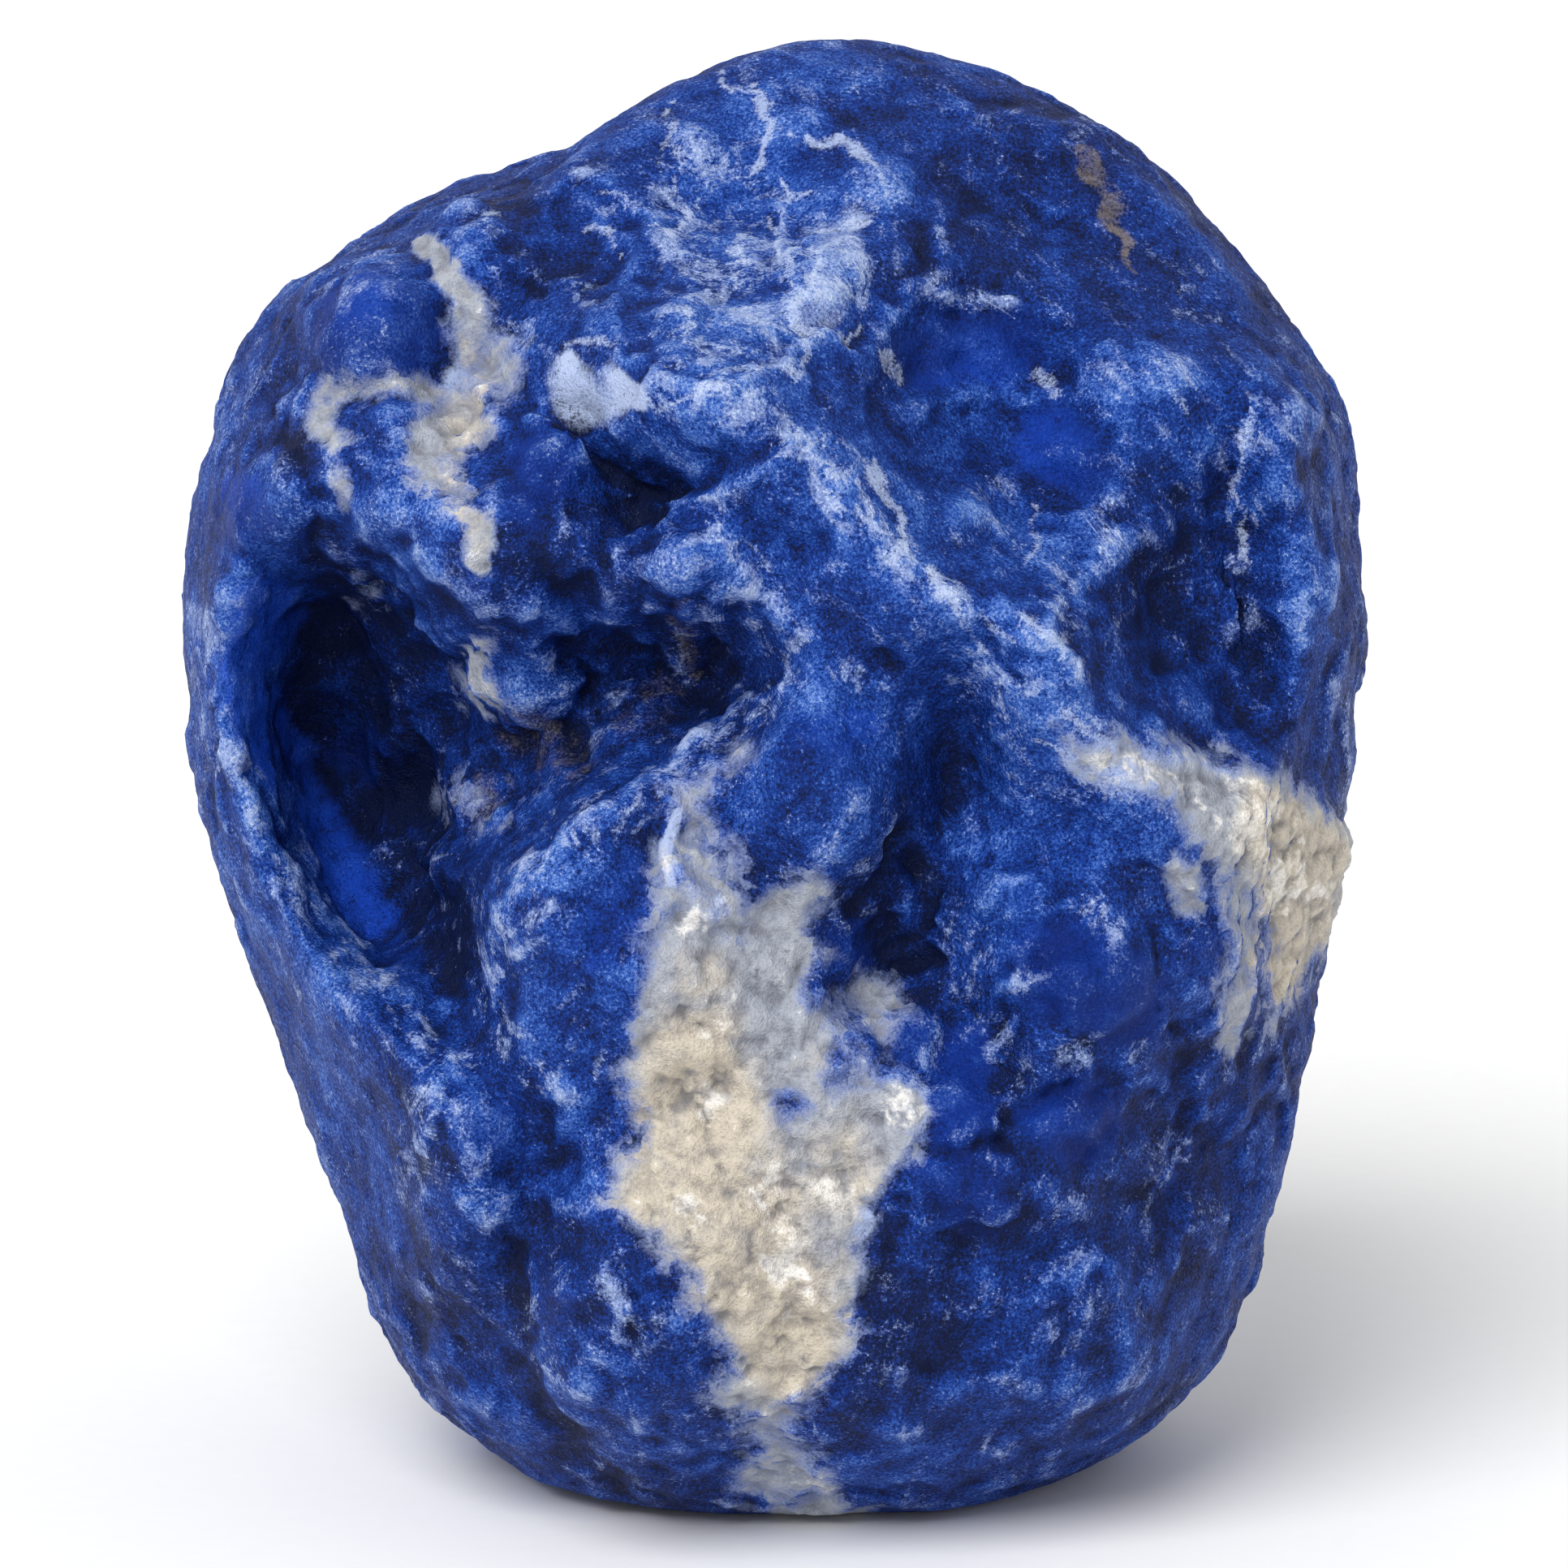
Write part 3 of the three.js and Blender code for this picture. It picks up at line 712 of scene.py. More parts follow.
# %% [markdown]
# ## The depth of the calcite
# A plain yes or no would give the calcite a cut edge. A depth in millimetres is better: the relief
# and the colour can each take their own soft edge from it. Strong noise bends the veins round the
# sides, so that they don't look like tubes.

# %% Depth inside the calcite
VEIN_SPREAD = 2.0
PATCH_WAVES = ((1.8, (23, 25), 0.45), (0.6, (24, 26), 0.2))
SIDE_WAVES = ((3.6, (27, 28), 2.2), (1.2, (29, 30), 0.8))
CALCITE_RISE = (-0.4, 0.6)


def widened(path, times):
    """A drawn line with its half widths multiplied."""
    return [(*spot[:-1], spot[-1] * times) for spot in path]


def vein_depth(draw, places, path):
    """Depth inside a vein in millimetres. It is drawn by stroke or by tube."""
    widest = max(spot[-1] for spot in path)
    drawn = draw(places, widened(path, VEIN_SPREAD))
    return np.where(drawn > 0.0, (drawn * 2.0 - 1.0) * widest, -OUTSIDE)


def calcite_depth(points, seen, facing):
    """How deep inside calcite a point is, in millimetres, negative in the blue mineral."""
    spots = shaken(seen, points, PATCH_WAVES)
    front = np.maximum(depth_inside(spots, BIG_PATCH), depth_inside(spots, RIGHT_VEIN))
    for path in THIN_VEINS:
        front = np.maximum(front, vein_depth(stroke, spots, path))
    places = shaken(on_face(points), points, SIDE_WAVES, sides=(0, 2))
    round_side = np.full(len(points), -OUTSIDE)
    for path in SIDE_VEINS:
        round_side = np.maximum(round_side, vein_depth(tube, places, path))
    return np.maximum(front * facing - OUTSIDE * (1.0 - facing), round_side)


skin_depth = calcite_depth(skin_points, skin_seen, skin_facing)
skin_calcite = eased(skin_depth, *CALCITE_RISE)
print("calcite covers", round(float(skin_calcite.mean()) * 100, 1), "% of the points")

# %% [markdown]
# ## Scoops
# Sodalite has no grain, so it breaks like glass into shallow scoops with sharp crests between them.
# Plain noise is too soft for that. The squared distance to scattered centres gives just that form.
# The lower right is knobbly instead, which is the same pattern turned over. In the calm zones one
# large break runs on smoothly, and the scoops are weaker. A pattern is given by its height, its
# size and its seed.

# %% The scoops
KNOBBLY_MIDDLE = (13.0, -14.0)
KNOBBLY_REACH = 13.0
KNOBBLY_CORE = 0.55 * KNOBBLY_REACH
SMOOTH_ZONES = (
    (6, 8, 7), (2, 12, 5), (12, 2, 4), (9, 14, 6), (0, 26, 9), (17, 19, 7), (-20, -12, 8), (-7, -6, 5),
    (2, 1, 4), (-22, 8, 5),
)
SMOOTHNESS = 0.62
BROAD_WARP = (3.0, 0.9, 40)
STRENGTH_MIDDLE = 0.75
STRENGTH_SWELLS = (0.45, 9.0, 44)
LARGE_SCOOPS = (0.62, 4.4, 45)
SMALL_SCOOPS = (0.24, 1.9, 46)
SOFT_SWELLS = (0.14, 2.4, 31)


def grown(pattern, points, height, size, seed):
    """A pattern of a given height, size and seed."""
    return height * pattern(points, size, seed)


def roughness_at(seen):
    """1 where the surface is broken up small, less where one large break runs on smoothly."""
    calm = np.zeros(len(seen))
    for across, up, reach in SMOOTH_ZONES:
        gap = (seen[:, 0] - across) ** 2 + (seen[:, 1] - up) ** 2
        calm = np.maximum(calm, np.exp(-gap / reach ** 2))
    return 1.0 - SMOOTHNESS * calm


def broad_relief(points, seen):
    """Scoops, or lumps at the lower right, with soft swells on them."""
    loose = warped(points, *BROAD_WARP)
    off = seen - KNOBBLY_MIDDLE
    knobbly = eased(np.hypot(off[:, 0], off[:, 1]), KNOBBLY_REACH, KNOBBLY_CORE)
    turn = 1.0 - 2.0 * knobbly
    strength = STRENGTH_MIDDLE + grown(noise, points, *STRENGTH_SWELLS)
    height = grown(scoop, loose, *LARGE_SCOOPS) * strength * turn
    height += grown(scoop, loose, *SMALL_SCOOPS) * turn
    return (height + grown(noise, points, *SOFT_SWELLS)) * roughness_at(seen)


scoop_height = broad_relief(skin_points, skin_seen)
tell("scoops", scoop_height)

# %% [markdown]
# ## Small breaks and calcite lumps
# Between the scoops the blue mineral is split into small flat faces that meet in crisp edges, and
# these carry finer chips. Flat grains with a lean of their own give both. Calcite is packed from
# rounded sugary lumps: that is the scoop pattern turned over, in two sizes, with small grains on it.

# %% Flat breaks, chips and lumps
SMALL_WARP = (1.4, 0.5, 53)
CHIP_WARP = (1.0, 0.3, 49)
LUMP_WARP = (1.6, 0.6, 57)
LARGE_BREAKS = (0.22, 2.6, 47)
SMALL_BREAKS = (0.08, 1.3, 54)
CHIPS = (0.05, 0.8, 48)
ROUGHNESS = ((0.035, 1.1, 32), (0.02, 0.5, 33))
LUMP_HEIGHT = 0.66
LARGE_LUMPS = (-1.0, 2.3, 55)
SMALL_LUMPS = (0.6, 1.1, 56)
SUGAR = (0.16, 0.95, 51)
SMALL_SUGAR = (0.06, 0.5, 52)
DUST = (0.04, 0.5, 33)


def flat_breaks(points, seen):
    """Small flat faces, each with its own lean, that meet in crisp edges."""
    large = grown(tilted_grains, warped(points, *BROAD_WARP), *LARGE_BREAKS)
    small = grown(tilted_grains, warped(points, *SMALL_WARP), *SMALL_BREAKS)
    return (large + small) * roughness_at(seen)


def chips(loose, points):
    """Small chips and roughness of the blue mineral."""
    height = grown(tilted_grains, loose, *CHIPS)
    for layer in ROUGHNESS:
        height += grown(noise, points, *layer)
    return height


def sugar_lumps(loose, points):
    """The lumps of the calcite, and the sugar on them."""
    lump = grown(scoop, warped(points, *LUMP_WARP), *LARGE_LUMPS)
    height = LUMP_HEIGHT * (lump - grown(scoop, points, *SMALL_LUMPS))
    height += grown(tilted_grains, loose, *SUGAR)
    height += grown(tilted_grains, points, *SMALL_SUGAR)
    return height + grown(noise, points, *DUST)


def fine_relief(points, calcite):
    """Chips in the blue mineral and lumps in the calcite."""
    loose = warped(points, *CHIP_WARP)
    return chips(loose, points) * (1.0 - calcite) + sugar_lumps(loose, points) * calcite


break_height = flat_breaks(skin_points, skin_seen)
fine_height = fine_relief(skin_points, skin_calcite)
tell("fine relief", fine_height)

# %% [markdown]
# ## Wear
# Knobs and scoops of a real stone are a little worn, and its lips less so. Smoothing the finished
# mesh would wear the chips away too. So each kind of height is averaged on its own along the mesh's
# edges before they are added up: knobs and scoops twice, lines and flat breaks once, chips not at
# all. Marks on the face end where it turns away, and the flat spot under the foot stays plain.

# %% Worn heights, added up
KNOB_WEAR = 2
LIP_WEAR = 1
ABOVE_SPOT_RISE = (0.1, 1.2)
OFF_SPOT_RISE = (-0.9, -0.6)


def averaged(values, edges, rounds):
    """Values moved half way to the average of their neighbours, several times."""
    count = np.bincount(edges.ravel(), minlength=len(values))[:, None]
    for _ in range(rounds):
        total = np.empty_like(values)
        for axis in range(values.shape[1]):
            column = values[:, axis]
            total[:, axis] = np.bincount(edges[:, 0], column[edges[:, 1]], len(values))
            total[:, axis] += np.bincount(edges[:, 1], column[edges[:, 0]], len(values))
        values = values * 0.5 + total / count * 0.5
    return values


def foot_calm(points, normals):
    """0 on the flat spot that the stone rests on and 1 above it."""
    return np.maximum(eased(points[:, 2], *ABOVE_SPOT_RISE), eased(normals[:, 2], *OFF_SPOT_RISE))


EDGES = listed(skin.edges, "vertices", 2, np.int32)
worn = knob_height * skin_facing + scoop_height
worn = averaged(worn[:, None], EDGES, KNOB_WEAR)[:, 0]
lined = line_height * skin_facing + break_height * (1.0 - skin_calcite)
lined = averaged(lined[:, None], EDGES, LIP_WEAR)[:, 0]
skin_height = worn + lined + fine_height
skin_height *= foot_calm(skin_points, skin_normals)
tell("relief", skin_height)

# %% [markdown]
# ## Worn points and crevices, with painted shade
# Every crest of a rough stone is bruised to a pale frost. The material also makes crevices darker and
# crests lighter, which is partly that frost and partly a painted shade. The sharpness of an edge could
# tell them apart, but it is noisy. Here each point is compared with the average of its neighbours: one
# that stands out is a crest, and one that lies behind is a crevice. A few rounds of averaging find
# small ones, and many rounds find large ones.

# %% Push the skin out and find its crests
SMALL_ROUNDS = 2
LARGE_ROUNDS = 10
USUAL_SPREAD = (5, 95)
SPREAD_LIMIT = 2.5


def evened(values):
    """The values measured in their own usual spread, from -2.5 to 2.5."""
    low, high = np.percentile(values, USUAL_SPREAD)
    return np.clip(values / (high - low) * 2.0, -SPREAD_LIMIT, SPREAD_LIMIT)


def keep_on_points(mesh, name, values):
    """Stores one number for each point, under a name that a material can read."""
    layer = mesh.attributes.new(name, "FLOAT", "POINT")
    layer.data.foreach_set("value", np.asarray(values, np.float32))


moved = skin_points + skin_normals * skin_height[:, None]
skin.vertices.foreach_set("co", (moved * MM).astype(np.float32).ravel())
skin.update()
moved_normals = normal_array(skin)
small_average = averaged(moved, EDGES, SMALL_ROUNDS)
large_average = averaged(small_average, EDGES, LARGE_ROUNDS)
crest_small = np.sum((moved - small_average) * moved_normals, axis=1)
crest_large = np.sum((small_average - large_average) * moved_normals, axis=1)
keep_on_points(skin, "crest_small", evened(crest_small))
keep_on_points(skin, "crest_large", evened(crest_large))
print("small crests", np.round(np.percentile(crest_small, USUAL_SPREAD), 3), "mm")
print("large crests", np.round(np.percentile(crest_large, USUAL_SPREAD), 3), "mm")

# %% [markdown]
# ## A lighter mesh
# The skin has a few more triangles than a part should carry. A coarser skin would blunt every
# flake. Decimate takes away the points that matter least instead, and a point group makes it give
# up the most at the back and leave the broken face alone. The crest numbers ride along.

# %% Thin the skin
TRIANGLE_GOAL = 196000
KEEP_STEPS = 8
CARE_RISE = (-0.4, 0.0)


def thinned(mesh, goal, keep):
    """The mesh with about goal triangles, more of them where keep is near 1."""
    worker = plain_object("thinning", mesh)
    group = worker.vertex_groups.new(name="give_up")
    steps = np.round((1.0 - keep) * KEEP_STEPS).astype(int)
    for step in range(1, KEEP_STEPS + 1):
        group.add(np.flatnonzero(steps == step).tolist(), step / KEEP_STEPS, "REPLACE")
    triangles = sum(len(face.vertices) - 2 for face in mesh.polygons)
    thin = worker.modifiers.new("thin", "DECIMATE")
    thin.ratio = goal / triangles
    thin.use_collapse_triangulate = True
    thin.vertex_group = group.name
    thin.vertex_group_factor = 1.0
    made = baked(worker, "sodalite_rough")
    bpy.data.objects.remove(worker)
    return made


stone_mesh = thinned(skin, TRIANGLE_GOAL, towards_viewer(moved_normals, *CARE_RISE))
stone_mesh.shade_smooth()
stone = plain_object("sodalite_rough", stone_mesh)
print("stone", len(stone_mesh.vertices), "points,", len(stone_mesh.polygons), "triangles")

# %% [markdown]
# ## Frost, and a painted highlight
# The blue isn't even: worn ridges and scratched places are frosted nearly white. The crest numbers
# alone would frost every ridge alike, so the strongest frost is drawn with the same strokes as the
# cracks. On the lit ridge at the top and on the crown the strokes also paint a highlight. A stroke
# comes with its strength, then its spots as across, up and half width.

# %% The frosted places and the painted highlight
FROST_AND_HIGHLIGHT = (
    # The first three lines lie on the lit top ridge and the crown: frost with a painted highlight.
    (.9, ((2.3, 22.4, 1.6), (2.1, 21, 2.2), (1.8, 19.6, 1.6))),
    (.85, ((-3, 25, 2.5), (-2, 21, 3), (-2.5, 17.5, 2.6))),
    (.8, ((.2, 24.2, .7), (.6, 21, .7), (.9, 19.6, .7), (1.2, 18.7, .6))), (.6, ((4.5, 24.8, 1.3),)),
    (1, ((1.3, 14.3, 1.1),)), (1, ((2.3, 13, 1.1), (3.3, 12, 1.4), (4.4, 10.8, 1.2))),
    (1, ((5.4, 9.6, 1.2),)), (.8, ((7, 8.2, 1), (7.7, 7.1, 1))), (.6, ((9, 6.6, .7), (9.4, 5.6, .6))),
    (.5, ((10.8, 6.8, .8), (11.6, 5.8, 1), (12.6, 4.4, .6))),
    (.7, ((8, 5, .9), (10, 3, 1.3), (12, 2, 1.1))),
    (.9, ((12, 1.5, 1), (13.5, .4, 1.1), (15, -.2, .7))),
    (.7, ((-3, 11, .8), (-2, 9.4, 1.1), (-.8, 7.6, 1.2), (.5, 6.2, 1), (1.6, 4.2, 1))),
    (.6, ((-5, 23.6, .5), (-4.2, 22.8, .5))), (.6, ((-8.6, 26, .6),)), (.7, ((-8, 20.6, .7),)),
    (.6, ((-7.5, 23.4, .5), (-6.6, 24, .5), (-6, 24, .5))), (.5, ((-12, 19, .5), (-10, 18.5, .5))),
    (.6, ((-24.3, 7, .8), (-24, 3, .9), (-22.9, 1.2, 1), (-22, -1.2, 1), (-20.5, -3.8, 1),
          (-19.5, -5.3, 1), (-17.5, -7.4, 1), (-16.3, -9.2, .9), (-15, -11, .8))),
    (.55, ((0, 3.6, .9), (-1.6, 2.6, 1.1), (-4.5, .4, 1.2), (-8.5, -2.3, 1.3), (-11.5, -5.2, 1.1),
           (-12, -8.6, .9))),
    (.7, ((-14.8, -15.2, .8), (-14.2, -13, 1), (-13.5, -11.9, .8))),
    (.5, ((-15.3, -17.4, .9), (-14.8, -15, .7))),
    (.6, ((-12.4, -9.4, .6), (-11, -11, .8), (-9.6, -13.2, .7))),
    (.3, ((-7.4, -24.4, .8), (-8, -25.7, .9))),
    (.7, ((-7, -21.4, .6), (-6.4, -22.3, .6), (-6.6, -23.4, .5))), (.7, ((-8, -28.5, .7),)),
    (.5, ((-10.6, -20.5, .6), (-10.3, -23, .6), (-9.8, -25.5, .6))),
    (.7, ((8, -6.5, .9), (8.2, -8, .9), (7.6, -10, .8), (7, -12, .8), (6, -12.8, .9))),
    (.8, ((13, -5.3, .8), (14.1, -6.3, .7))), (.7, ((16.5, -4, .7), (17.6, -5.2, .8))),
    (.6, ((12, -11.4, .7), (13.3, -11.6, .8), (15, -11.4, .6))), (.9, ((11.8, -12.6, .5),)),
    (.7, ((15.2, -13.6, .6),)), (.7, ((10.2, -9.2, .7), (10.9, -8.3, .6))),
    (.6, ((9.3, -10.5, .7), (9.6, -12, .8), (10.4, -12.8, .6))),
    (.5, ((17.2, -14.5, .6), (16.8, -16, .7), (15.7, -17.6, .6))),
    (.25, ((11, -21, 1.3), (12, -25, 1.1))), (.5, ((23.8, 4, .9), (24, 2, .9), (23.9, 0, .7))),
    (.6, ((20.1, 15.6, .6), (19.8, 13.5, .7), (19.4, 11, .7), (19.8, 9, .6), (19.8, 6.6, .7))),
    (.6, ((6.6, 20.3, .6), (8.5, 20.1, .7), (10.1, 20, .6))),
    (.5, ((7.4, 10.2, 1.1), (9.2, 11.6, 1.1), (10.4, 9.6, .9))),
    (.6, ((11.2, 9.3, .8), (12.4, 8, 1.1))), (.5, ((14, 12, .5), (13.9, 10, .6))),
    (.5, ((-3.5, 6.4, 1), (-3.9, 5, .8))), (.3, ((-4.4, 10.2, .5), (-3.4, 9.9, .5))),
    (.5, ((-5.8, 15.9, .6), (-3, 16.2, .8), (-1.5, 15.5, .7))),
    (.5, ((-16.6, 21.8, 1.2), (-18.8, 20.7, .9))), (.5, ((-10.2, 5.3, .7), (-8.9, 4.9, .5))),
    (.4, ((-21, 17.4, 1.2), (-23.6, 14.6, 1))),
    (.5, ((3.4, -3.6, .5), (1.5, -2.7, .6), (3.4, -1.4, .4))),
    (.5, ((-4.6, -3.6, .6), (-3.2, -5.9, .6))), (.5, ((2.6, 4.2, .9), (4.6, 3.4, .8))),
)
print(len(FROST_AND_HIGHLIGHT), "strokes of frost")

# %% [markdown]
# ## Painted glow and deep blue
# Some lumps are a light violet blue, where light gets into thin edges, and others are a pure deep blue.
# Real glow would need a half clear body and long renders. A drawn lighter tone is a painted glow
# instead, and on the lit ridge at the top it is a painted highlight as well.

# %% The painted glow and the deep places
# Lighter tone: painted glow, and a painted highlight on the lit top ridge.
GLOW_AND_LIT = (
    (1, ((-21.8, 7.4, 1.7), (-22.2, 3.6, 1.6), (-20.6, -.6, 1.6), (-18.6, -4, 1.6), (-17.4, -6, 1.4))),
    (.8, ((-1.5, 18.6, 4), (-1, 23, 4.2), (.5, 27.5, 3))), (1, ((2.2, 22, 2.6), (4.2, 24.6, 2))),
    (.7, ((-3, 14.4, 2.8),)), (.6, ((2, 12.5, 2.5), (6, 8.5, 2.6), (10, 4.5, 2.4), (11, 1, 3))),
    (.7, ((9, 10.8, 2.6), (11.8, 8.5, 2.4))), (.6, ((.8, 4.5, 2.2), (4.5, 2.6, 2.2))),
    (.7, ((-23.2, 13.6, 2.2),)), (.6, ((-24.6, 6, 1.6), (-24.4, 1.5, 1.6))),
    (.6, ((-23.8, -3, 2), (-20.8, -9, 2.6), (-18.4, -16, 3))), (.4, ((-7, -7, 3.2), (-8, -14, 2.6))),
    (.1, ((-9.5, -20, 1.8), (-8.6, -25, 2.2))), (.5, ((13.5, -2.5, 3.6), (16.5, -2, 2))),
    (.4, ((12, -21, 2.6), (13.5, -26, 2.6))), (.6, ((-15.2, 9, 1.5),)), (.6, ((-10.2, 4, 1.8),)),
    (.3, ((-4.5, 9.1, 1.7),)), (.5, ((.2, -13.8, 1),)), (.4, ((8.8, -2.6, 1.6), (9.8, -6, 1.3))),
    (.4, ((20.5, -14, 1.8), (20.2, -20, 1.8))), (.4, ((-17.5, 20.5, 1.6),)),
    (.3, ((22.8, 2, 1.6), (23.2, 8, 1.6))), (.7, ((9, 14.5, 3.5),)),
)
DEEP = (
    (.9, ((-17, 18.8, 3.2),)), (.5, ((-4.6, 9.2, 1.5),)), (.8, ((-9.5, 13.4, 2),)),
    (.75, ((-21.4, 7.4, 1.8), (-22.6, 4.6, 1.5), (-21.6, 2, 1.5), (-19.9, -.5, 1.4), (-18.4, -3.2, 1.4),
           (-17, -6, 1.3))),
    (.8, ((6, 17.8, 1.6), (9.5, 18.2, 2))), (.8, ((11.5, 14.2, 2), (13, 13, 1.5))),
    (1, ((12, -8, 2.6), (14.6, -9.4, 2.3))), (1, ((8, -11.3, 1.4), (7.8, -14, 1.7))),
    (.8, ((5.5, -10.8, 1.5),)), (1, ((12.6, -14.2, 2.4),)), (.7, ((8, -17.2, 2.6),)),
    (.7, ((2.8, -7, 1.4),)), (.6, ((1, 1.4, 1.5), (3.6, 2.2, 1.3))), (.6, ((18, -7.5, 2),)),
    (.5, ((-9.5, -22, 1.6),)), (.5, ((-6, -5, 2), (-8, -7.5, 1.8))), (.6, ((-12, -14.5, 1.8),)),
    (.8, ((-22.5, 11, 2),)), (.6, ((-15.8, -7.8, 1.8),)), (.5, ((19, 1, 1.7), (17, 3, 1.7))),
    (.7, ((-10.5, 11.4, 1.4),)), (.6, ((-17.6, 1, 1.6),)), (.5, ((10.6, -5, 1.3),)),
    (.5, ((6.8, -3.2, .9),)),
)
print(len(GLOW_AND_LIT), "bright and", len(DEEP), "deep strokes")

# %% [markdown]
# ## Painted shade in the hollows, and stains
# Hollows and pits are navy, darker than their shade alone makes them: partly the mineral's own deep
# navy and partly a painted shade, which also lies beside a few ridges. Brown stains of old water follow
# a few pits and one thin crack. Both are dull and ragged, so they are strokes too, and the material
# frays them with noise.

# %% The navy and painted shade places and the stains
# Navy strokes: the mineral's deep navy and painted shade in hollows, pits and beside ridges.
NAVY_AND_SHADE = (
    (.35, ((13, -9, 3), (12.5, -14.5, 3.5), (9, -18, 3))), (.3, ((12, -22, 4), (14, -26, 3))),
    (.5, ((-8, -22, 3),)), (.3, ((10, 27, 3), (15, 22, 3))), (.3, ((1.6, 1, 2),)),
    (1, ((-18.5, 5.5, 2.6), (-17.5, 2, 3.2), (-15.5, -2, 2.6), (-14, -5.5, 1.9), (-13.5, -8, 1.1))),
    (.3, ((-8, 3, 2.4), (-5, 4.2, 2.6), (-2.2, 3.8, 2))), (.6, ((-6, 10.8, 1.9), (-4, 10.6, 1.1))),
    (.5, ((-8.5, 1.5, 1.6), (-11.2, 1.6, 1.3))),
    (.7, ((-13, 8.5, 1.9), (-10, 9.5, 1.9), (-7.5, 9, 1.7))),
    (.7, ((-20.3, 14, .7), (-19.5, 10, .9), (-18.3, 7.8, 1.4))),
    (.7, ((7, 1.5, 1.2), (6, -1.5, 1.3), (5, -3.5, 1.5), (3.8, -5.2, 1.1))), (.8, ((5.6, -7.6, 1.6),)),
    (.5, ((15.3, 11.5, 1.5), (15.8, 7.5, 2.1), (16.5, 5, 1.9))),
    (.6, ((7.2, 22, 1.8), (8.8, 20.8, 1.3))), (.3, ((7.5, 16.1, 1.1), (10, 15.6, 1))),
    (.35, ((-11.5, -11.5, 1.2), (-10.2, -13.6, 1.1), (-9.2, -15.6, .9))),
    (.5, ((-11, -20, .8), (-10.8, -23, 1), (-10.2, -26, 1), (-8.6, -28.6, 1), (-6, -30, .9))),
    (.6, ((8.5, -15.6, 1.3), (10.3, -14.6, .9))),
    (.85, ((4.5, -20.5, 1.7), (6, -22, 2.4), (5, -25, 1.8), (3, -27, 1.4))),
    (.5, ((14, -25.5, 1.8), (16.5, -26.5, 1.8))), (.5, ((19, -12, 2.4), (18.5, -17, 2.2))),
    (.5, ((-14.5, -21, 1.6), (-13, -24, 1.7))), (.5, ((-16.6, -11, 1.3), (-15.8, -13, 1.1))),
    (.4, ((20, 7, 1),)), (.5, ((11.5, 26, 2.4), (14, 22.5, 2.4))),
    (.4, ((-11, 22.5, 2.2), (-8, 22, 2))), (.5, ((-16.4, 14.8, 1.4),)),
    (.5, ((-4.6, -30, 1.3), (-1, -31, 1))), (.4, ((16.5, -20, 1.6), (15.5, -16, 1.2))),
)
STAIN = (
    (.8, ((-4.1, 7.2, .6), (-3.7, 5.6, .7), (-3.4, 4.4, .5))),
    (.75, ((-11, 2.2, 1.4), (-8.6, .8, 1.4))), (.75, ((-6.2, 2.2, 1.1),)), (.7, ((-5, 3.4, 1.5),)),
    (1, ((12.7, 26.7, .25), (13, 26, .38), (13.8, 24.6, .42), (14.4, 23.2, .42), (14.6, 22.2, .38),
         (15, 21.4, .25))),
    (.8, ((13.9, 25.3, .3), (14.4, 24.6, .35), (14.5, 23.8, .3))), (.8, ((-12.8, -.9, 1.4),)),
    (.5, ((-16.2, -12, 1.2),)), (.6, ((19.9, 8, .4), (19.8, 9.5, .4), (19.4, 11.5, .35))),
    (.6, ((20, 5.6, .5),)), (.5, ((16.8, -10.6, .8),)), (.5, ((-10.6, -17.2, .8),)),
    (.6, ((9.8, -9.6, .4),)), (.5, ((-18.6, 13.2, .5), (-18.2, 11.6, .4))),
    (.5, ((9.4, -13.9, .8), (8.6, -15, .6))), (.4, ((16.6, 6.4, 1.2),)), (.4, ((9.4, 5.2, .5),)),
    (.4, ((7, -20.5, 1.5), (4.8, -24.6, 1.2))), (.6, ((-12, 5.4, .4),)), (.5, ((-17, 7.9, .8),)),
)
print(len(NAVY_AND_SHADE), "navy strokes and", len(STAIN), "stains")

# %% [markdown]
# ## Tints of the calcite
# The calcite is cream in its thick parts and white where it is crushed. Where it is thin, the blue
# shows through. A white stroke outside the calcite makes a milky spot on the blue, and one on the lit
# top ridge paints its highlight. These tints are drawn, since nothing in the form tells where they lie.

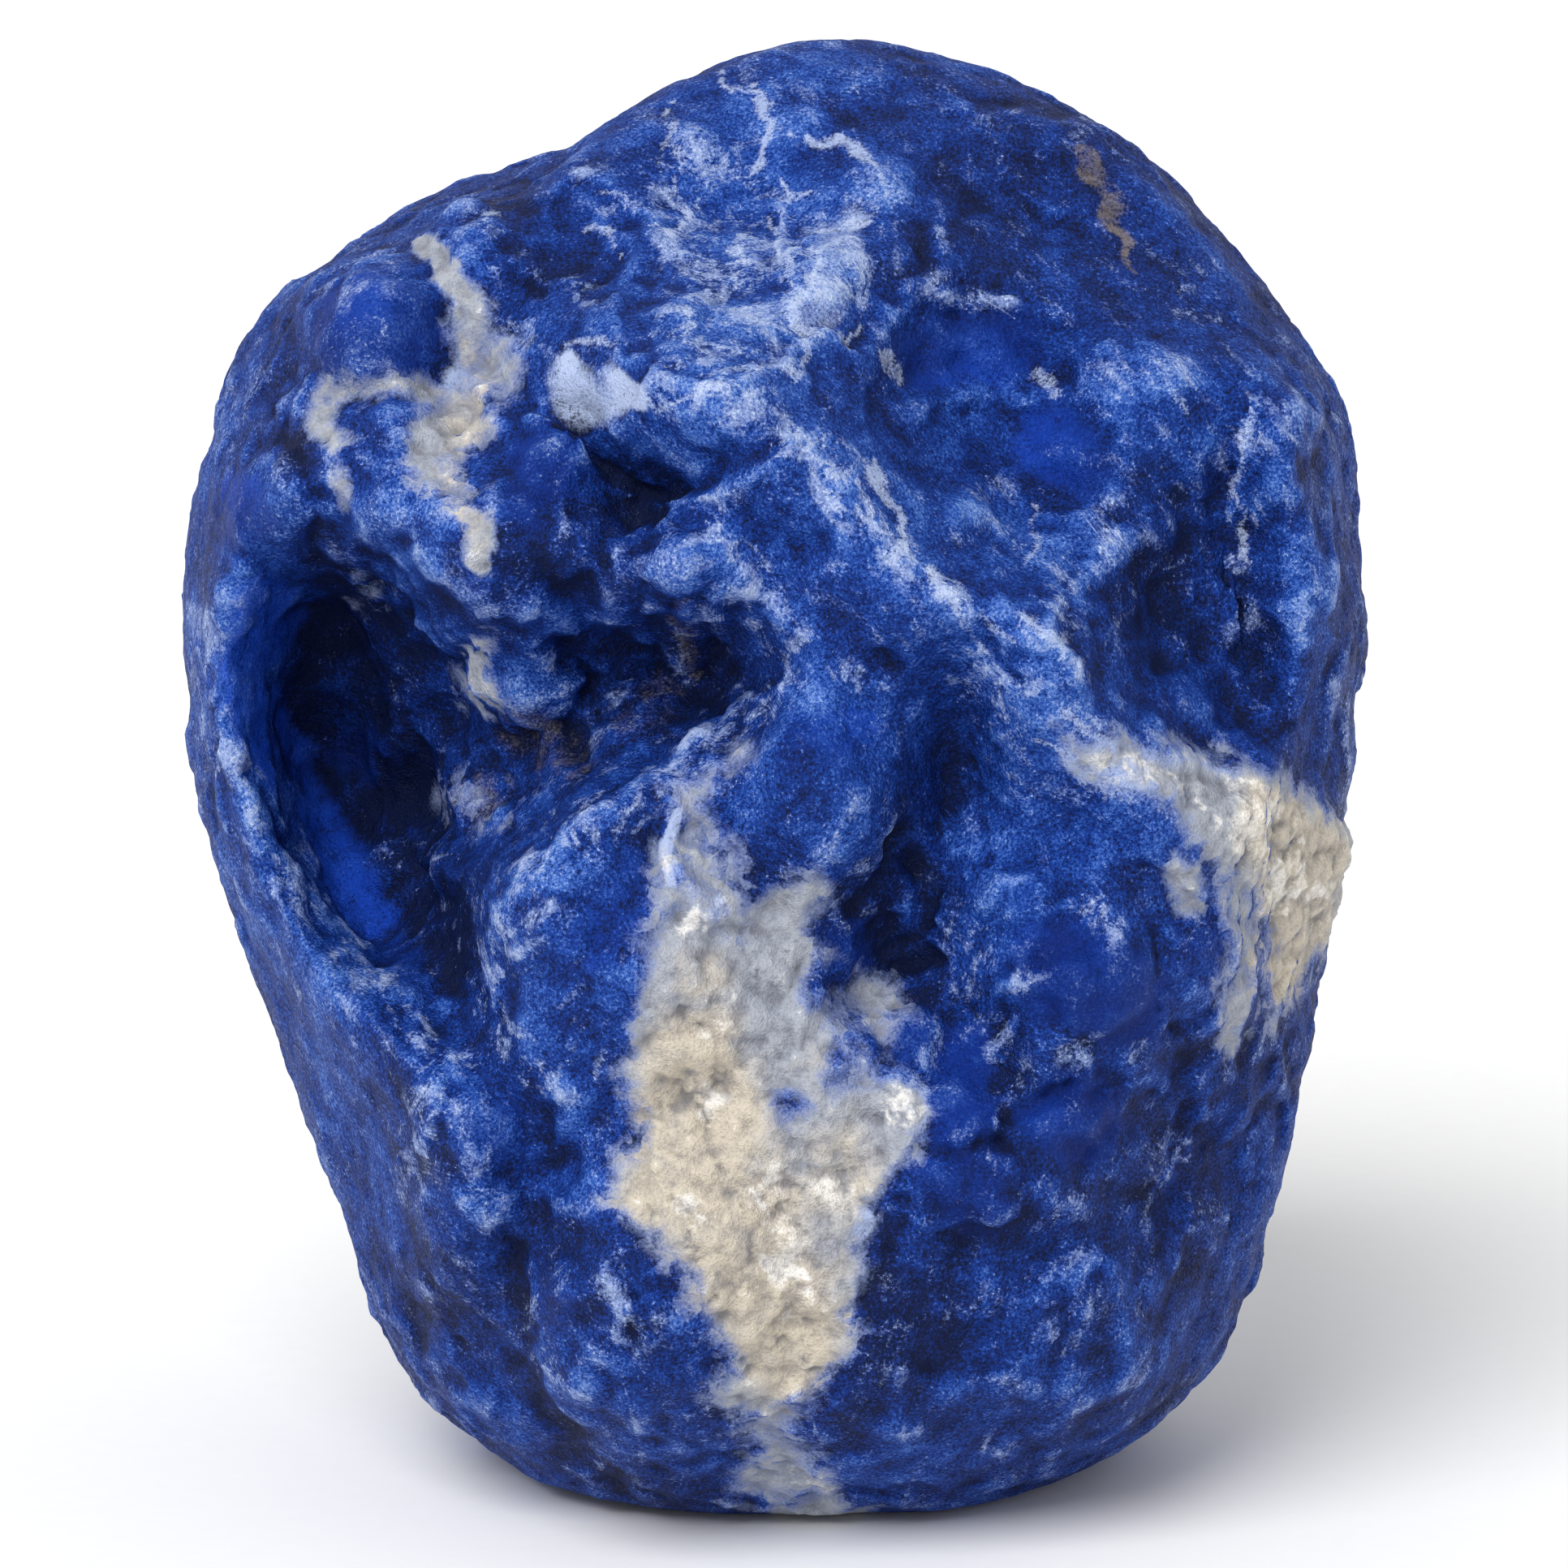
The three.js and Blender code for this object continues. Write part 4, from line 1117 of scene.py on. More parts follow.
# %% Cream, white and thin calcite
CREAM = (
    (.5, ((-3.4, -8.6, 1.6),)),
    (1, ((-3.4, -11.5, 2.2), (-3.3, -14, 3), (-3.6, -17, 3.4), (-1.8, -19, 3.6), (-.3, -21.8, 3),
         (.5, -24, 2.2))),
    (.5, ((2.6, -16.4, 2.2), (2.2, -19, 1.6))),
    (1, ((20.4, -1.2, 1.2), (22.2, -3.6, 2.4), (22, -6, 1.8), (21.1, -8.6, 1.2))),
    (.5, ((-13.2, 17.6, 1.2), (-13.3, 13.4, 1.2), (-12.9, 10, .9))),
)
WHITEN_AND_HIGHLIGHT = (
    (1, ((-.4, -17.2, 1.2),)), (1, ((.4, -19.6, 1.5), (.9, -21.5, 1))), (.9, ((-3.6, -18.5, 1.1),)),
    (.7, ((-3, -13.3, 1.2),)), (.9, ((5.4, -13.9, 1.1),)), (.8, ((3.1, -18.7, .9),)),
    (.6, ((2.2, -17.2, 1),)), (1, ((-4.3, -1.6, .3), (-4.6, -3, .45), (-4.7, -4.6, .3))),
    (1, ((-3.9, -6.3, .3), (-3, -5.9, .45), (-2.2, -5.2, .3))), (.6, ((1.2, -29.2, 1.1),)),
    (.8, ((21.5, -3.3, 1.2), (22, -5.4, .8))),
    (.65, ((14, .8, 1), (17.5, 0, 1.3), (20, -1.4, 1.6), (22, -5, 2))), (.6, ((-2.6, -9.8, 1.3),)),
    (.6, ((-13.2, 16.9, .9),)), (.4, ((-13.6, 12.6, .7),)),
    # This stroke on the lit top ridge is a painted highlight.
    (.5, ((3, 23.6, 1), (2.3, 22, 1.5), (1.7, 19.8, 1.5))),
    (.62, ((-8.8, 16.8, 1.2), (-8, 15.6, 1.2), (-6.8, 16.3, 1.2))),
    (1, ((-6.5, 16.4, .7), (-6, 16, .7))), (.85, ((-8.8, 17.4, .6),)),
)
THIN_CALCITE = (
    (.42, ((-3, .6, 1), (-3.4, -1.6, 1.4), (-3, -4.6, 1.5), (-1.6, -6.2, 1.4))),
    (.6, ((1.8, -8.6, 1.1), (2.8, -10.4, 1.4), (3, -12.4, 1.2))),
    (.12, ((12.5, 1.6, .8), (15, .6, .8), (17, 0, .8))), (.3, ((-18.4, 15.6, .7), (-15.5, 16.3, .6))),
    (.5, ((-12.6, -.9, 1.2),)), (.3, ((-17, 7.9, .9),)), (.32, ((0, -27, 1.4), (.2, -28.5, 1.6))),
    (.36, ((.3, -30.5, 1.4),)), (.38, ((-13.2, 18.5, 1.5), (-13, 16.5, 1.5))),
    (.42, ((-13.6, 13, 1.3), (-13.4, 11, 1.2))), (.3, ((-2.4, -7.6, .8),)), (.15, ((-12.2, 4.2, .9),)),
)
BLUE_ISLAND = ((0.3, -13.8, 1.6),)
ISLAND_STRENGTH = 0.8
print(len(CREAM), "cream,", len(WHITEN_AND_HIGHLIGHT), "white and", len(THIN_CALCITE), "thin strokes")

# %% [markdown]
# ## Healed cracks
# Fine white threads run over the crown and along the ridge: cracks that calcite has filled. They
# have no height, and noise can't draw a line that winds like a scratch, so they are very thin
# strokes.

# %% The healed cracks
HEALED = (
    (1, ((-5.2, 24, .14), (-5, 23.2, .22), (-4.6, 22.8, .22), (-4.1, 23.2, .18), (-3.7, 23.9, .14))),
    (.9, ((-4.6, 28.4, .14), (-4.4, 27.3, .22), (-4.8, 26.8, .14))),
    (.7, ((-4.3, 26.6, .14), (-3.9, 25.6, .18), (-4.2, 24.9, .14))),
    (1, ((-2.4, 29.8, .14), (-2, 29, .22), (-1.4, 28.9, .18))),
    (.9, ((-.1, 25, .14), (.4, 24.4, .22), (1.2, 24.3, .14))),
    (1, ((-1.2, 29.3, .14), (-.8, 28.2, .25), (-.2, 27.4, .22), (-.5, 26.3, .22), (-1, 25.2, .14))),
    (1, ((.6, 27.2, .14), (1.3, 27.1, .25), (1.9, 26.6, .25), (2.6, 26.9, .18), (3.8, 26, .18))),
    (.9, ((-.2, 23.8, .14), (.2, 22.3, .18), (.3, 21.2, .18), (0, 20.6, .14))),
    (1, ((1.6, 22.4, .18), (1.4, 21, .25), (.9, 19.6, .29), (1.2, 18.8, .25), (1.7, 18.8, .18))),
    (1, ((2.8, 23.7, .22), (3.2, 23.2, .29), (3.7, 23.5, .18))),
    (.9, ((2.7, 18.8, .18), (3.2, 18, .22), (3.6, 18.7, .14))),
    (.8, ((-1.7, 22.6, .22), (-1.5, 21.7, .29), (-1.9, 20.8, .22))),
    (.8, ((-8.4, 22.9, .14), (-7.9, 23.3, .22), (-6.9, 23, .18), (-6.4, 22, .18))),
    (.7, ((-7.3, 24.6, .14), (-6.2, 24.3, .18), (-5.5, 23.6, .14))),
    (.8, ((-8.9, 18.1, .14), (-7.8, 18.4, .22), (-6.5, 17.9, .14))),
    (.9, ((-5.7, 16.4, .14), (-5, 15.8, .22), (-4.1, 15.9, .18), (-2.4, 16.4, .22), (-1.9, 17.1, .18))),
    (.8, ((.2, 17.5, .14), (.7, 16.9, .22), (1.1, 17.4, .18), (1, 18.2, .14))),
    (.8, ((4.3, 18, .14), (5.2, 16.6, .22))),
    (.7, ((-3.8, 19.8, .22), (-3.6, 18.8, .25), (-4, 18, .18))),
    (.9, ((-12.2, 23.8, .14), (-11.8, 23.9, .22))),
    (1, ((3.9, 13.6, .22), (4.6, 12, .29), (5.2, 10.3, .29), (5.2, 9.2, .22))),
    (1, ((6.6, 8.8, .25), (7, 8.1, .36), (7.6, 7.1, .29))),
    (.8, ((8.8, 7, .22), (9.3, 6.3, .29), (10, 5.7, .22))),
    (1, ((10.6, 7, .22), (11.3, 6.2, .36), (12, 5.8, .36), (12.2, 5.2, .22))),
    (.9, ((11, 1.7, .22), (12.2, 1, .29), (13.2, .2, .29), (14, -.9, .22))),
    (.9, ((12, 2.7, .22), (13, 1.9, .29), (14.2, 1.4, .22))),
    (.8, ((19.9, 15.5, .14), (19.6, 14, .22), (19.4, 12.6, .22), (19.7, 11, .18), (19.4, 10, .18),
          (20, 9, .14))),
    (.8, ((16.8, 16.2, .14), (17.3, 15.2, .22))), (.7, ((11, 17.2, .14), (11.8, 16.2, .18))),
    (.7, ((11, 11.3, .14), (11, 10.2, .22), (10.2, 9.2, .18))),
    (.6, ((13.8, 8.8, .22), (13.9, 11.6, .14))),
)
print(len(HEALED), "healed cracks")

# %% [markdown]
# ## Colour numbers on the points
# A painted skin wrapped round the stone could hold the marks, but it would stretch and blur. Each
# kind of mark becomes a number on the points instead, and the material reads it. Behind, where
# nothing is drawn, noise of the same kind takes over, so that the back isn't bare.

# %% Keep the colour numbers
COLOUR_FACING_RISE = (0.0, 0.3)
COLOUR_WAVES = ((1.6, (61, 62), 0.5),)
PAINT_SPREAD = 1.5
PAINT_FULL = 0.75
WILD_RISE = (0.05, 0.6)
WILD_SEED = 70
WILD_SEED_STEP = 5
WILD_LEFT_OUT = 0.75
COLOUR_MARKS = {
    "frost_and_highlight": FROST_AND_HIGHLIGHT, "glow_and_lit": GLOW_AND_LIT, "deep": DEEP, "navy_and_shade": NAVY_AND_SHADE, "stain": STAIN, "cream": CREAM,
    "whiten_and_highlight": WHITEN_AND_HIGHLIGHT, "healed": HEALED,
}
WILD_SHARE = {
    "frost_and_highlight": (4.0, 0.35), "glow_and_lit": (6.0, 0.55), "deep": (4.5, 0.5), "navy_and_shade": (7.0, 0.5),
    "cream": (8.0, 0.6),
}


def painted(seen, strokes):
    """The strongest of a set of strokes at each point, soft at its edges."""
    total = np.zeros(len(seen))
    for strength, path in strokes:
        drawn = stroke(seen, widened(path, PAINT_SPREAD))
        total = np.maximum(total, strength * eased(drawn, 0.0, PAINT_FULL))
    return total


def wild(points, name, turn):
    """Noise in place of drawn marks, with a seed from the turn of its kind."""
    size, share = WILD_SHARE[name]
    return eased(layered(points, size, WILD_SEED + turn * WILD_SEED_STEP), *WILD_RISE) * share


points = point_array(stone_mesh)
normals = normal_array(stone_mesh)
seen = as_seen(points)
facing = towards_viewer(normals, *COLOUR_FACING_RISE)
shaken_seen = shaken(seen, points, COLOUR_WAVES)
for turn, (name, strokes) in enumerate(COLOUR_MARKS.items()):
    value = painted(shaken_seen, strokes) * facing
    if name in WILD_SHARE:
        value = np.maximum(value, wild(points, name, turn) * (1.0 - WILD_LEFT_OUT * facing))
    keep_on_points(stone_mesh, name, value)
print("colour numbers", sorted(COLOUR_MARKS))

# %% [markdown]
# ## The calcite number
# The material needs to know the calcite as well. It reads the same depth as the relief, turned into
# a number from 0 to 1, with the thin places and a small blue island taken off. Working it out again
# on the thinned mesh keeps its edge sharper than carrying it over from the skin would.

# %% Keep the calcite number
depth = calcite_depth(points, seen, facing)
taken_off = ISLAND_STRENGTH * stroke(shaken_seen, BLUE_ISLAND) * facing
taken_off += painted(shaken_seen, THIN_CALCITE) * facing
calcite = np.clip(np.clip(0.5 + depth * 0.5, 0.0, 1.0) - taken_off, 0.0, 1.0)
keep_on_points(stone_mesh, "calcite", calcite)
print("calcite colours", round(float(calcite.mean()) * 100, 1), "% of the points")

# %% [markdown]
# ## Streaks
# On the ridges and the left flank the mineral is drawn out into fine threads, all leaning the same
# way in one place. Single scratches would take thousands of strokes. A streak is only noise that is
# squeezed across and stretched along, so each zone has its own lean, and the stone carries the
# squeezed place of every point for the material. A zone is across, up, reach, lean and strength.

# %% Streak zones
STREAK_ZONES = (
    (6, 8, 7, -47, .8), (-1, 21, 6, -80, .6), (-5, 0, 5, 40, 1), (-20, -8, 8, -62, 1),
    (-14, -22, 6, -54, .7), (-12, -14, 3.5, 80, .6), (16, 0, 6, -27, .8), (12, -22, 7, 68, .7),
    (21, -12, 6, 78, .6), (18, 17, 7, -51, .9), (-10, 24, 7, 28, .3), (9, 14, 4, 10, .2),
    (-8, -7, 5, 48, 1), (-7, -24, 5, -75, .6), (-22, 8, 6, -80, .2), (4, -1, 4, 62, .3),
    (9, -6, 5, 66, .4), (22, 4, 5, -85, .6), (-17, 3, 6, 0, 0), (-9, 9, 5, 0, 0), (13, -11, 4, 0, 0),
)
ZONE_SHARE = 0.5
STREAK_WIDTH = 0.4
STREAK_LENGTH = 2.0
STREAK_DEPTH = 3.0


def zone_weights(seen, zones):
    """How much each zone counts at each point. The weights of a point add up to 1."""
    weights = []
    for across, up, reach in zones[:, :3]:
        gap = (seen[:, 0] - across) ** 2 + (seen[:, 1] - up) ** 2
        weights.append(np.exp(-gap / (ZONE_SHARE * reach) ** 2))
    weights = np.stack(weights, axis=1) + TINY
    return weights / weights.sum(1, keepdims=True)


def streak_place(seen):
    """Each point's place across and along the streaks of its zone, and their strength."""
    zones = np.asarray(STREAK_ZONES, float)
    weights = zone_weights(seen, zones)
    double = np.radians(zones[:, 3] * 2.0)
    lean = np.arctan2(weights @ np.sin(double), weights @ np.cos(double)) * 0.5
    off = seen - weights @ zones[:, :2]
    across = off[:, 1] * np.cos(lean) - off[:, 0] * np.sin(lean)
    along = off[:, 0] * np.cos(lean) + off[:, 1] * np.sin(lean)
    return across, along, weights @ zones[:, 4]


across, along, streaky = streak_place(seen)
keep_on_points(stone_mesh, "streaky", streaky)
layer = stone_mesh.attributes.new("streak", "FLOAT_VECTOR", "POINT")
squeezed = (across / STREAK_WIDTH, along / STREAK_LENGTH, points[:, 1] / STREAK_DEPTH)
layer.data.foreach_set("vector", np.stack(squeezed, axis=1).astype(np.float32).ravel())
print("streaks of strength", round(float(streaky.min()), 2), "to", round(float(streaky.max()), 2))

# %% [markdown]
# ## Building a material from nodes
# A finish is a small net of nodes. Joined by hand in the node editor it can't be read in a script.
# These helpers add one node, set its values and draw its links in one line each, so that the finish
# below reads from top to bottom. Sizes are given in millimetres.

# %% Node helpers
SHIFT_WAYS = (1.0, 0.7, 1.3)
SEEN_WHITE = 255.0


def node(tree, kind, feeds=None, **settings):
    """A node with its settings, whose inputs get plain values or links."""
    made = tree.nodes.new(kind)
    for name, value in settings.items():
        setattr(made, name, value)
    for key, value in (feeds or {}).items():
        if isinstance(value, bpy.types.NodeSocket):
            tree.links.new(value, made.inputs[key])
        else:
            made.inputs[key].default_value = value
    return made


def maths(tree, operation, first, second):
    """The sum, product or difference of two values."""
    return node(tree, "ShaderNodeMath", {0: first, 1: second}, operation=operation).outputs[0]


def rise(tree, value, low, high, top=1.0):
    """0 at low and top at high, with a smooth rise between."""
    feeds = {"Value": value, "From Min": low, "From Max": high, "To Max": top}
    made = node(tree, "ShaderNodeMapRange", feeds, interpolation_type="SMOOTHSTEP")
    return made.outputs["Result"]


def over(tree, amount, under, top, blend="MIX"):
    """One colour laid over another."""
    feeds = {"Factor": amount, 6: under, 7: top}
    return node(tree, "ShaderNodeMix", feeds, data_type="RGBA", blend_type=blend).outputs[2]


def over_height(tree, amount, under, top):
    """One bump height giving way to another."""
    return node(tree, "ShaderNodeMix", {"Factor": amount, 2: under, 3: top}).outputs[0]


def mark(tree, name):
    """One of the numbers kept on the points."""
    return node(tree, "ShaderNodeAttribute", attribute_name=name).outputs["Fac"]


def clouds(tree, place, size, detail, rough, twist, shift):
    """Noise about size millimetres wide, from about 0.2 to 0.8."""
    away = tuple(shift * way for way in SHIFT_WAYS)
    spot = node(tree, "ShaderNodeVectorMath", {0: place, 1: away}).outputs[0]
    feeds = {
        "Vector": spot, "Scale": 1.0 / size, "Detail": detail, "Roughness": rough, "Distortion": twist,
    }
    return node(tree, "ShaderNodeTexNoise", feeds).outputs["Fac"]


def summed(tree, *parts):
    """Values added up, each with its own share."""
    total = None
    for value, share in parts:
        term = maths(tree, "MULTIPLY", value, share)
        total = term if total is None else maths(tree, "ADD", total, term)
    return total


def linear(red, green, blue):
    """A colour as it is seen, 0 to 255, turned into amounts of light."""
    parts = [value / SEEN_WHITE for value in (red, green, blue)]
    return [p / 12.92 if p <= 0.04045 else ((p + 0.055) / 1.055) ** 2.4 for p in parts] + [1.0]


print("middle grey is", round(linear(128, 128, 128)[0], 3), "of the light of white")

# %% [markdown]
# ## Calcite sugar
# Calcite breaks into clear and milky grains that pack like wet sugar. One flat cream would look like
# paint. Three sizes of noise are mixed instead: soft clouds from grey to cream, whiter grains, and
# sugar that is painted lit or dim, lighter on its crests. Grey joints get a painted shade, deepest in
# crevices, and the brightest grains painted glints. It is a node group, so that it can be set and
# looked at by itself. It takes a place, how cream and white the calcite is there and how far it stands
# out, and gives a colour and a height for the bump. A cloud is size, detail, roughness, twist and
# shift.

# %% The calcite group
CALCITE_GREY = linear(156, 161, 172)
CALCITE_CREAM = linear(192, 183, 168)
CALCITE_WHITE = linear(232, 230, 226)
JOINT_SHADE_GREY = linear(112, 112, 118)
DIM_SUGAR = (0.72, 0.72, 0.75, 1.0)
LIT_SUGAR = (1.14, 1.13, 1.11, 1.0)
GLINT_WHITE = (0.92, 0.92, 0.91, 1.0)
SOFT_CLOUD = (2.0, 4.0, 0.65, 0.4, 3.0)
FINE_CLOUD = (0.4, 2.0, 0.7, 0.0, 9.0)
SUGAR_CLOUD = (0.13, 1.0, 0.8, 0.0, 13.0)
CREAM_RISE = (0.85, 1.85)
CRUSHED_RISE = (0.36, 0.62)
WHITE_RISE = (0.15, 0.8, 0.85)
LIT_RISE = (0.52, 0.98)
JOINT_SHADE_RISE = (0.46, 0.2, 0.6)
GLINT_RISE = (1.0, 1.14, 0.5)
FINE_MIDDLE = 0.55
SUGAR_INPUTS = {"Place": "Vector", "Cream": "Float", "White": "Float", "Crest": "Float"}
SUGAR_OUTPUTS = {"Color": "Color", "Height": "Float"}


def sugar_tints(tree, soft, fine, cream, white):
    """Grey calcite with cream clouds and whiter grains."""
    creamy = rise(tree, summed(tree, (cream, 1.0), (soft, 1.6)), *CREAM_RISE)
    colour = over(tree, creamy, CALCITE_GREY, CALCITE_CREAM)
    whiter = maths(tree, "MULTIPLY", white, rise(tree, soft, *CRUSHED_RISE))
    whiter = maths(tree, "ADD", whiter, maths(tree, "SUBTRACT", fine, FINE_MIDDLE))
    return over(tree, rise(tree, whiter, *WHITE_RISE), colour, CALCITE_WHITE)


def calcite_group():
    """Sugary calcite as a group with its own inputs and outputs."""
    tree = bpy.data.node_groups.new("calcite_sugar", "ShaderNodeTree")
    for way, wanted in (("INPUT", SUGAR_INPUTS), ("OUTPUT", SUGAR_OUTPUTS)):
        for name, kind in wanted.items():
            tree.interface.new_socket(name, in_out=way, socket_type="NodeSocket" + kind)
    given = node(tree, "NodeGroupInput").outputs
    soft = clouds(tree, given["Place"], *SOFT_CLOUD)
    fine = clouds(tree, given["Place"], *FINE_CLOUD)
    sugar = clouds(tree, given["Place"], *SUGAR_CLOUD)
    colour = sugar_tints(tree, soft, fine, given["Cream"], given["White"])
    # Painted light: the sugar is lit or dim, and lighter on its crests.
    lit_grit = summed(tree, (fine, 0.5), (sugar, 0.5), (soft, 0.5), (given["Crest"], 0.09))
    lit = over(tree, rise(tree, lit_grit, *LIT_RISE), DIM_SUGAR, LIT_SUGAR)
    colour = over(tree, 1.0, colour, lit, "MULTIPLY")
    # Painted shade: grey joints, deepest in the crevices.
    joint_shade = summed(tree, (soft, 1.0), (fine, 0.15), (given["Crest"], 0.1))
    colour = over(tree, rise(tree, joint_shade, *JOINT_SHADE_RISE), colour, JOINT_SHADE_GREY)
    # Painted glints on the brightest grains.
    colour = over(tree, rise(tree, lit_grit, *GLINT_RISE), colour, GLINT_WHITE)
    height = summed(tree, (fine, 0.7), (sugar, 0.6))
    node(tree, "NodeGroupOutput", {"Color": colour, "Height": height})
    return tree


sugar_group = calcite_group()
print("group", sugar_group.name, "with", len(sugar_group.nodes), "nodes")

# %% [markdown]
# ## The blue body
# The mineral itself runs from navy through royal blue to a pale violet blue. Mixing many blues by hand
# would give patches with edges. Here there is one tone: soft clouds, the crests and the drawn marks
# push it up or down, and one colour ramp turns it into the blues. Crests come out lighter and crevices
# darker, which is partly bruising and partly painted shade. The navy marks add painted shade in the
# hollows, and the glow marks painted glow. Pure blue lumps lie over it, with a painted glow where the
# glow mark is high.

# %% The sodalite's own colour
NAVY_BLUE = linear(4, 19, 58)
DEEP_ROYAL = linear(6, 38, 110)
ROYAL = linear(16, 62, 152)
VIOLET_BLUE = linear(68, 110, 194)
PALE_BLUE = linear(136, 164, 222)
PURE_BLUE = linear(0, 37, 120)
# Painted glow: a lighter pure blue where the glow mark is high, also on faces turned from the light.
GLOW_BLUE = linear(20, 74, 200)
TONE_STOPS = (
    (0.20, NAVY_BLUE), (0.40, DEEP_ROYAL), (0.58, ROYAL), (0.80, VIOLET_BLUE), (1.0, PALE_BLUE),
)
# The crest numbers paint crests lighter and crevices darker: partly bruising, partly painted shade.
TONE_MARKS = (
    ("glow_and_lit", 0.17), ("navy_and_shade", -0.24), ("frost_and_highlight", 0.1), ("crest_small", 0.05), ("crest_large", 0.09),
)
TONE_MIDDLE = 0.75
SWELL_CLOUD = (4.0, 3.0, 0.6, 0.5, 1.0)
MOTTLE_CLOUD = (1.0, 3.0, 0.65, 0.3, 5.0)
PURE_RISE = (0.8, 1.4, 0.7)


def marks(tree, shares):
    """Numbers kept on the points, each with its share."""
    return [(mark(tree, name), share) for name, share in shares]


def ramped(tree, tone, stops):
    """A tone turned into colours that run from stop to stop."""
    ramp = node(tree, "ShaderNodeValToRGB", {0: tone})
    made = ramp.color_ramp.elements
    for count, (spot, colour) in enumerate(stops):
        stop = made[count] if count < len(made) else made.new(spot)
        stop.position = spot
        stop.color = colour
    return ramp.outputs[0]


def blue_body(tree, place, flake, grain):
    """The sodalite's own colour, before frost and calcite."""
    swell = clouds(tree, place, *SWELL_CLOUD)
    mottle = clouds(tree, place, *MOTTLE_CLOUD)
    shares = ((swell, 0.7), (mottle, 0.4), (grain, 1.25), (flake, 0.06))
    tone = summed(tree, *shares, *marks(tree, TONE_MARKS))
    blue = ramped(tree, maths(tree, "SUBTRACT", tone, TONE_MIDDLE), TONE_STOPS)
    pure = rise(tree, summed(tree, (mark(tree, "deep"), 1.0), (mottle, 1.0)), *PURE_RISE)
    return over(tree, pure, blue, over(tree, mark(tree, "glow_and_lit"), PURE_BLUE, GLOW_BLUE))


print("the tone runs over", len(TONE_STOPS), "blues")

# %% [markdown]
# ## Frost, specks and painted glints
# Bruised points scatter light and look frosted, and healed cracks are milky. Real frost is a layer of
# tiny splinters, too fine to build. One density is worked out for it from clouds, threads and drawn
# marks. Low densities give a blue haze, and high ones nearly white frost. The threshold on fine grain
# is what makes the edges ragged. Bright flecks, partly bruised points and partly painted glints, then
# dark specks and stains come last.

# %% Haze, frost, flecks and specks
HAZE_BLUE = linear(122, 146, 204)
FROST_WHITE = linear(172, 190, 232)
MILKY_BLUE = linear(190, 206, 240)
FLECK_AND_GLINT_WHITE = linear(204, 216, 242)
SPECK_NAVY = linear(8, 14, 42)
STAIN_BROWN = linear(134, 124, 112)
DENSITY_MARKS = (
    ("whiten_and_highlight", 0.15), ("deep", -0.1), ("navy_and_shade", -0.05), ("crest_small", 0.03), ("crest_large", 0.07),
)
DENSITY_MIDDLE = 0.065
THREAD_FEEDS = {"Scale": 1.0, "Detail": 1.0, "Roughness": 0.6}
THREAD_MIDDLE = 0.5
FROST_VEIL_RISE = (0.38, 0.6)
HAZE_RISE = (0.66, 1.12, 0.75)
FROST_RISE = (0.90, 1.36, 0.62)
PALE_RISE = (0.72, 1.2, 0.85)
HEALED_RISE = (1.5, 2.1, 0.7)
FLECK_AND_GLINT_RISE = (0.85, 0.97, 0.75)
SPECK_RISE = (0.38, 0.26, 0.7)
STAIN_RISE = (1.6, 2.15, 0.7)


def threads(tree):
    """Noise that is drawn out along the streaks of each zone, about 0 in the middle."""
    squeezed = node(tree, "ShaderNodeAttribute", attribute_name="streak").outputs["Vector"]
    thread = node(tree, "ShaderNodeTexNoise", {"Vector": squeezed, **THREAD_FEEDS}).outputs["Fac"]
    thread = maths(tree, "SUBTRACT", thread, THREAD_MIDDLE)
    return maths(tree, "MULTIPLY", thread, mark(tree, "streaky"))


def frost_density(tree, thread, flake, veil):
    """How thick the frost lies."""
    drawn = maths(tree, "MULTIPLY", mark(tree, "frost_and_highlight"), rise(tree, veil, *FROST_VEIL_RISE))
    shares = ((veil, 0.85), (thread, 0.75), (flake, 0.08), (drawn, 0.38))
    density = summed(tree, *shares, *marks(tree, DENSITY_MARKS))
    return maths(tree, "SUBTRACT", density, DENSITY_MIDDLE)


def frosted(tree, colour, flake, grain, veil):
    """Haze, frost, milky spots, bright flecks, dark specks and stains over a colour; flecks are partly
    painted glints.
    """
    thread = threads(tree)
    density = frost_density(tree, thread, flake, veil)
    layers = (
        (((density, 1.0), (grain, 0.4)), HAZE_RISE, HAZE_BLUE),
        (((density, 1.0), (grain, 0.8)), FROST_RISE, FROST_WHITE),
        (((mark(tree, "whiten_and_highlight"), 1.0), (veil, 0.5), (grain, 0.4)), PALE_RISE, MILKY_BLUE),
        (((mark(tree, "healed"), 0.8), (veil, 1.2), (grain, 1.3)), HEALED_RISE, MILKY_BLUE),
        # Bright flecks: bruised points and painted glints.
        (((density, 0.4), (grain, 1.0)), FLECK_AND_GLINT_RISE, FLECK_AND_GLINT_WHITE),
        (((thread, 0.4), (grain, 1.0), (mark(tree, "crest_small"), 0.05)), SPECK_RISE, SPECK_NAVY),
        (((mark(tree, "stain"), 0.9), (veil, 1.2), (grain, 0.9)), STAIN_RISE, STAIN_BROWN),
    )
    for parts, steps, tint in layers:
        colour = over(tree, rise(tree, summed(tree, *parts), *steps), colour, tint)
    return colour


print("frost from a density of", HAZE_RISE[0])

# %% [markdown]
# ## The stone's finish
# Blue mineral and calcite grow into each other, so a join of two finishes would be wrong. One finish
# carries both: the calcite's number, frayed by noise, lays the sugar over the blue, with a pale seam
# first. The stone is dull with a faint sheen, and the finest grain is a bump, because it is smaller
# than the triangles.

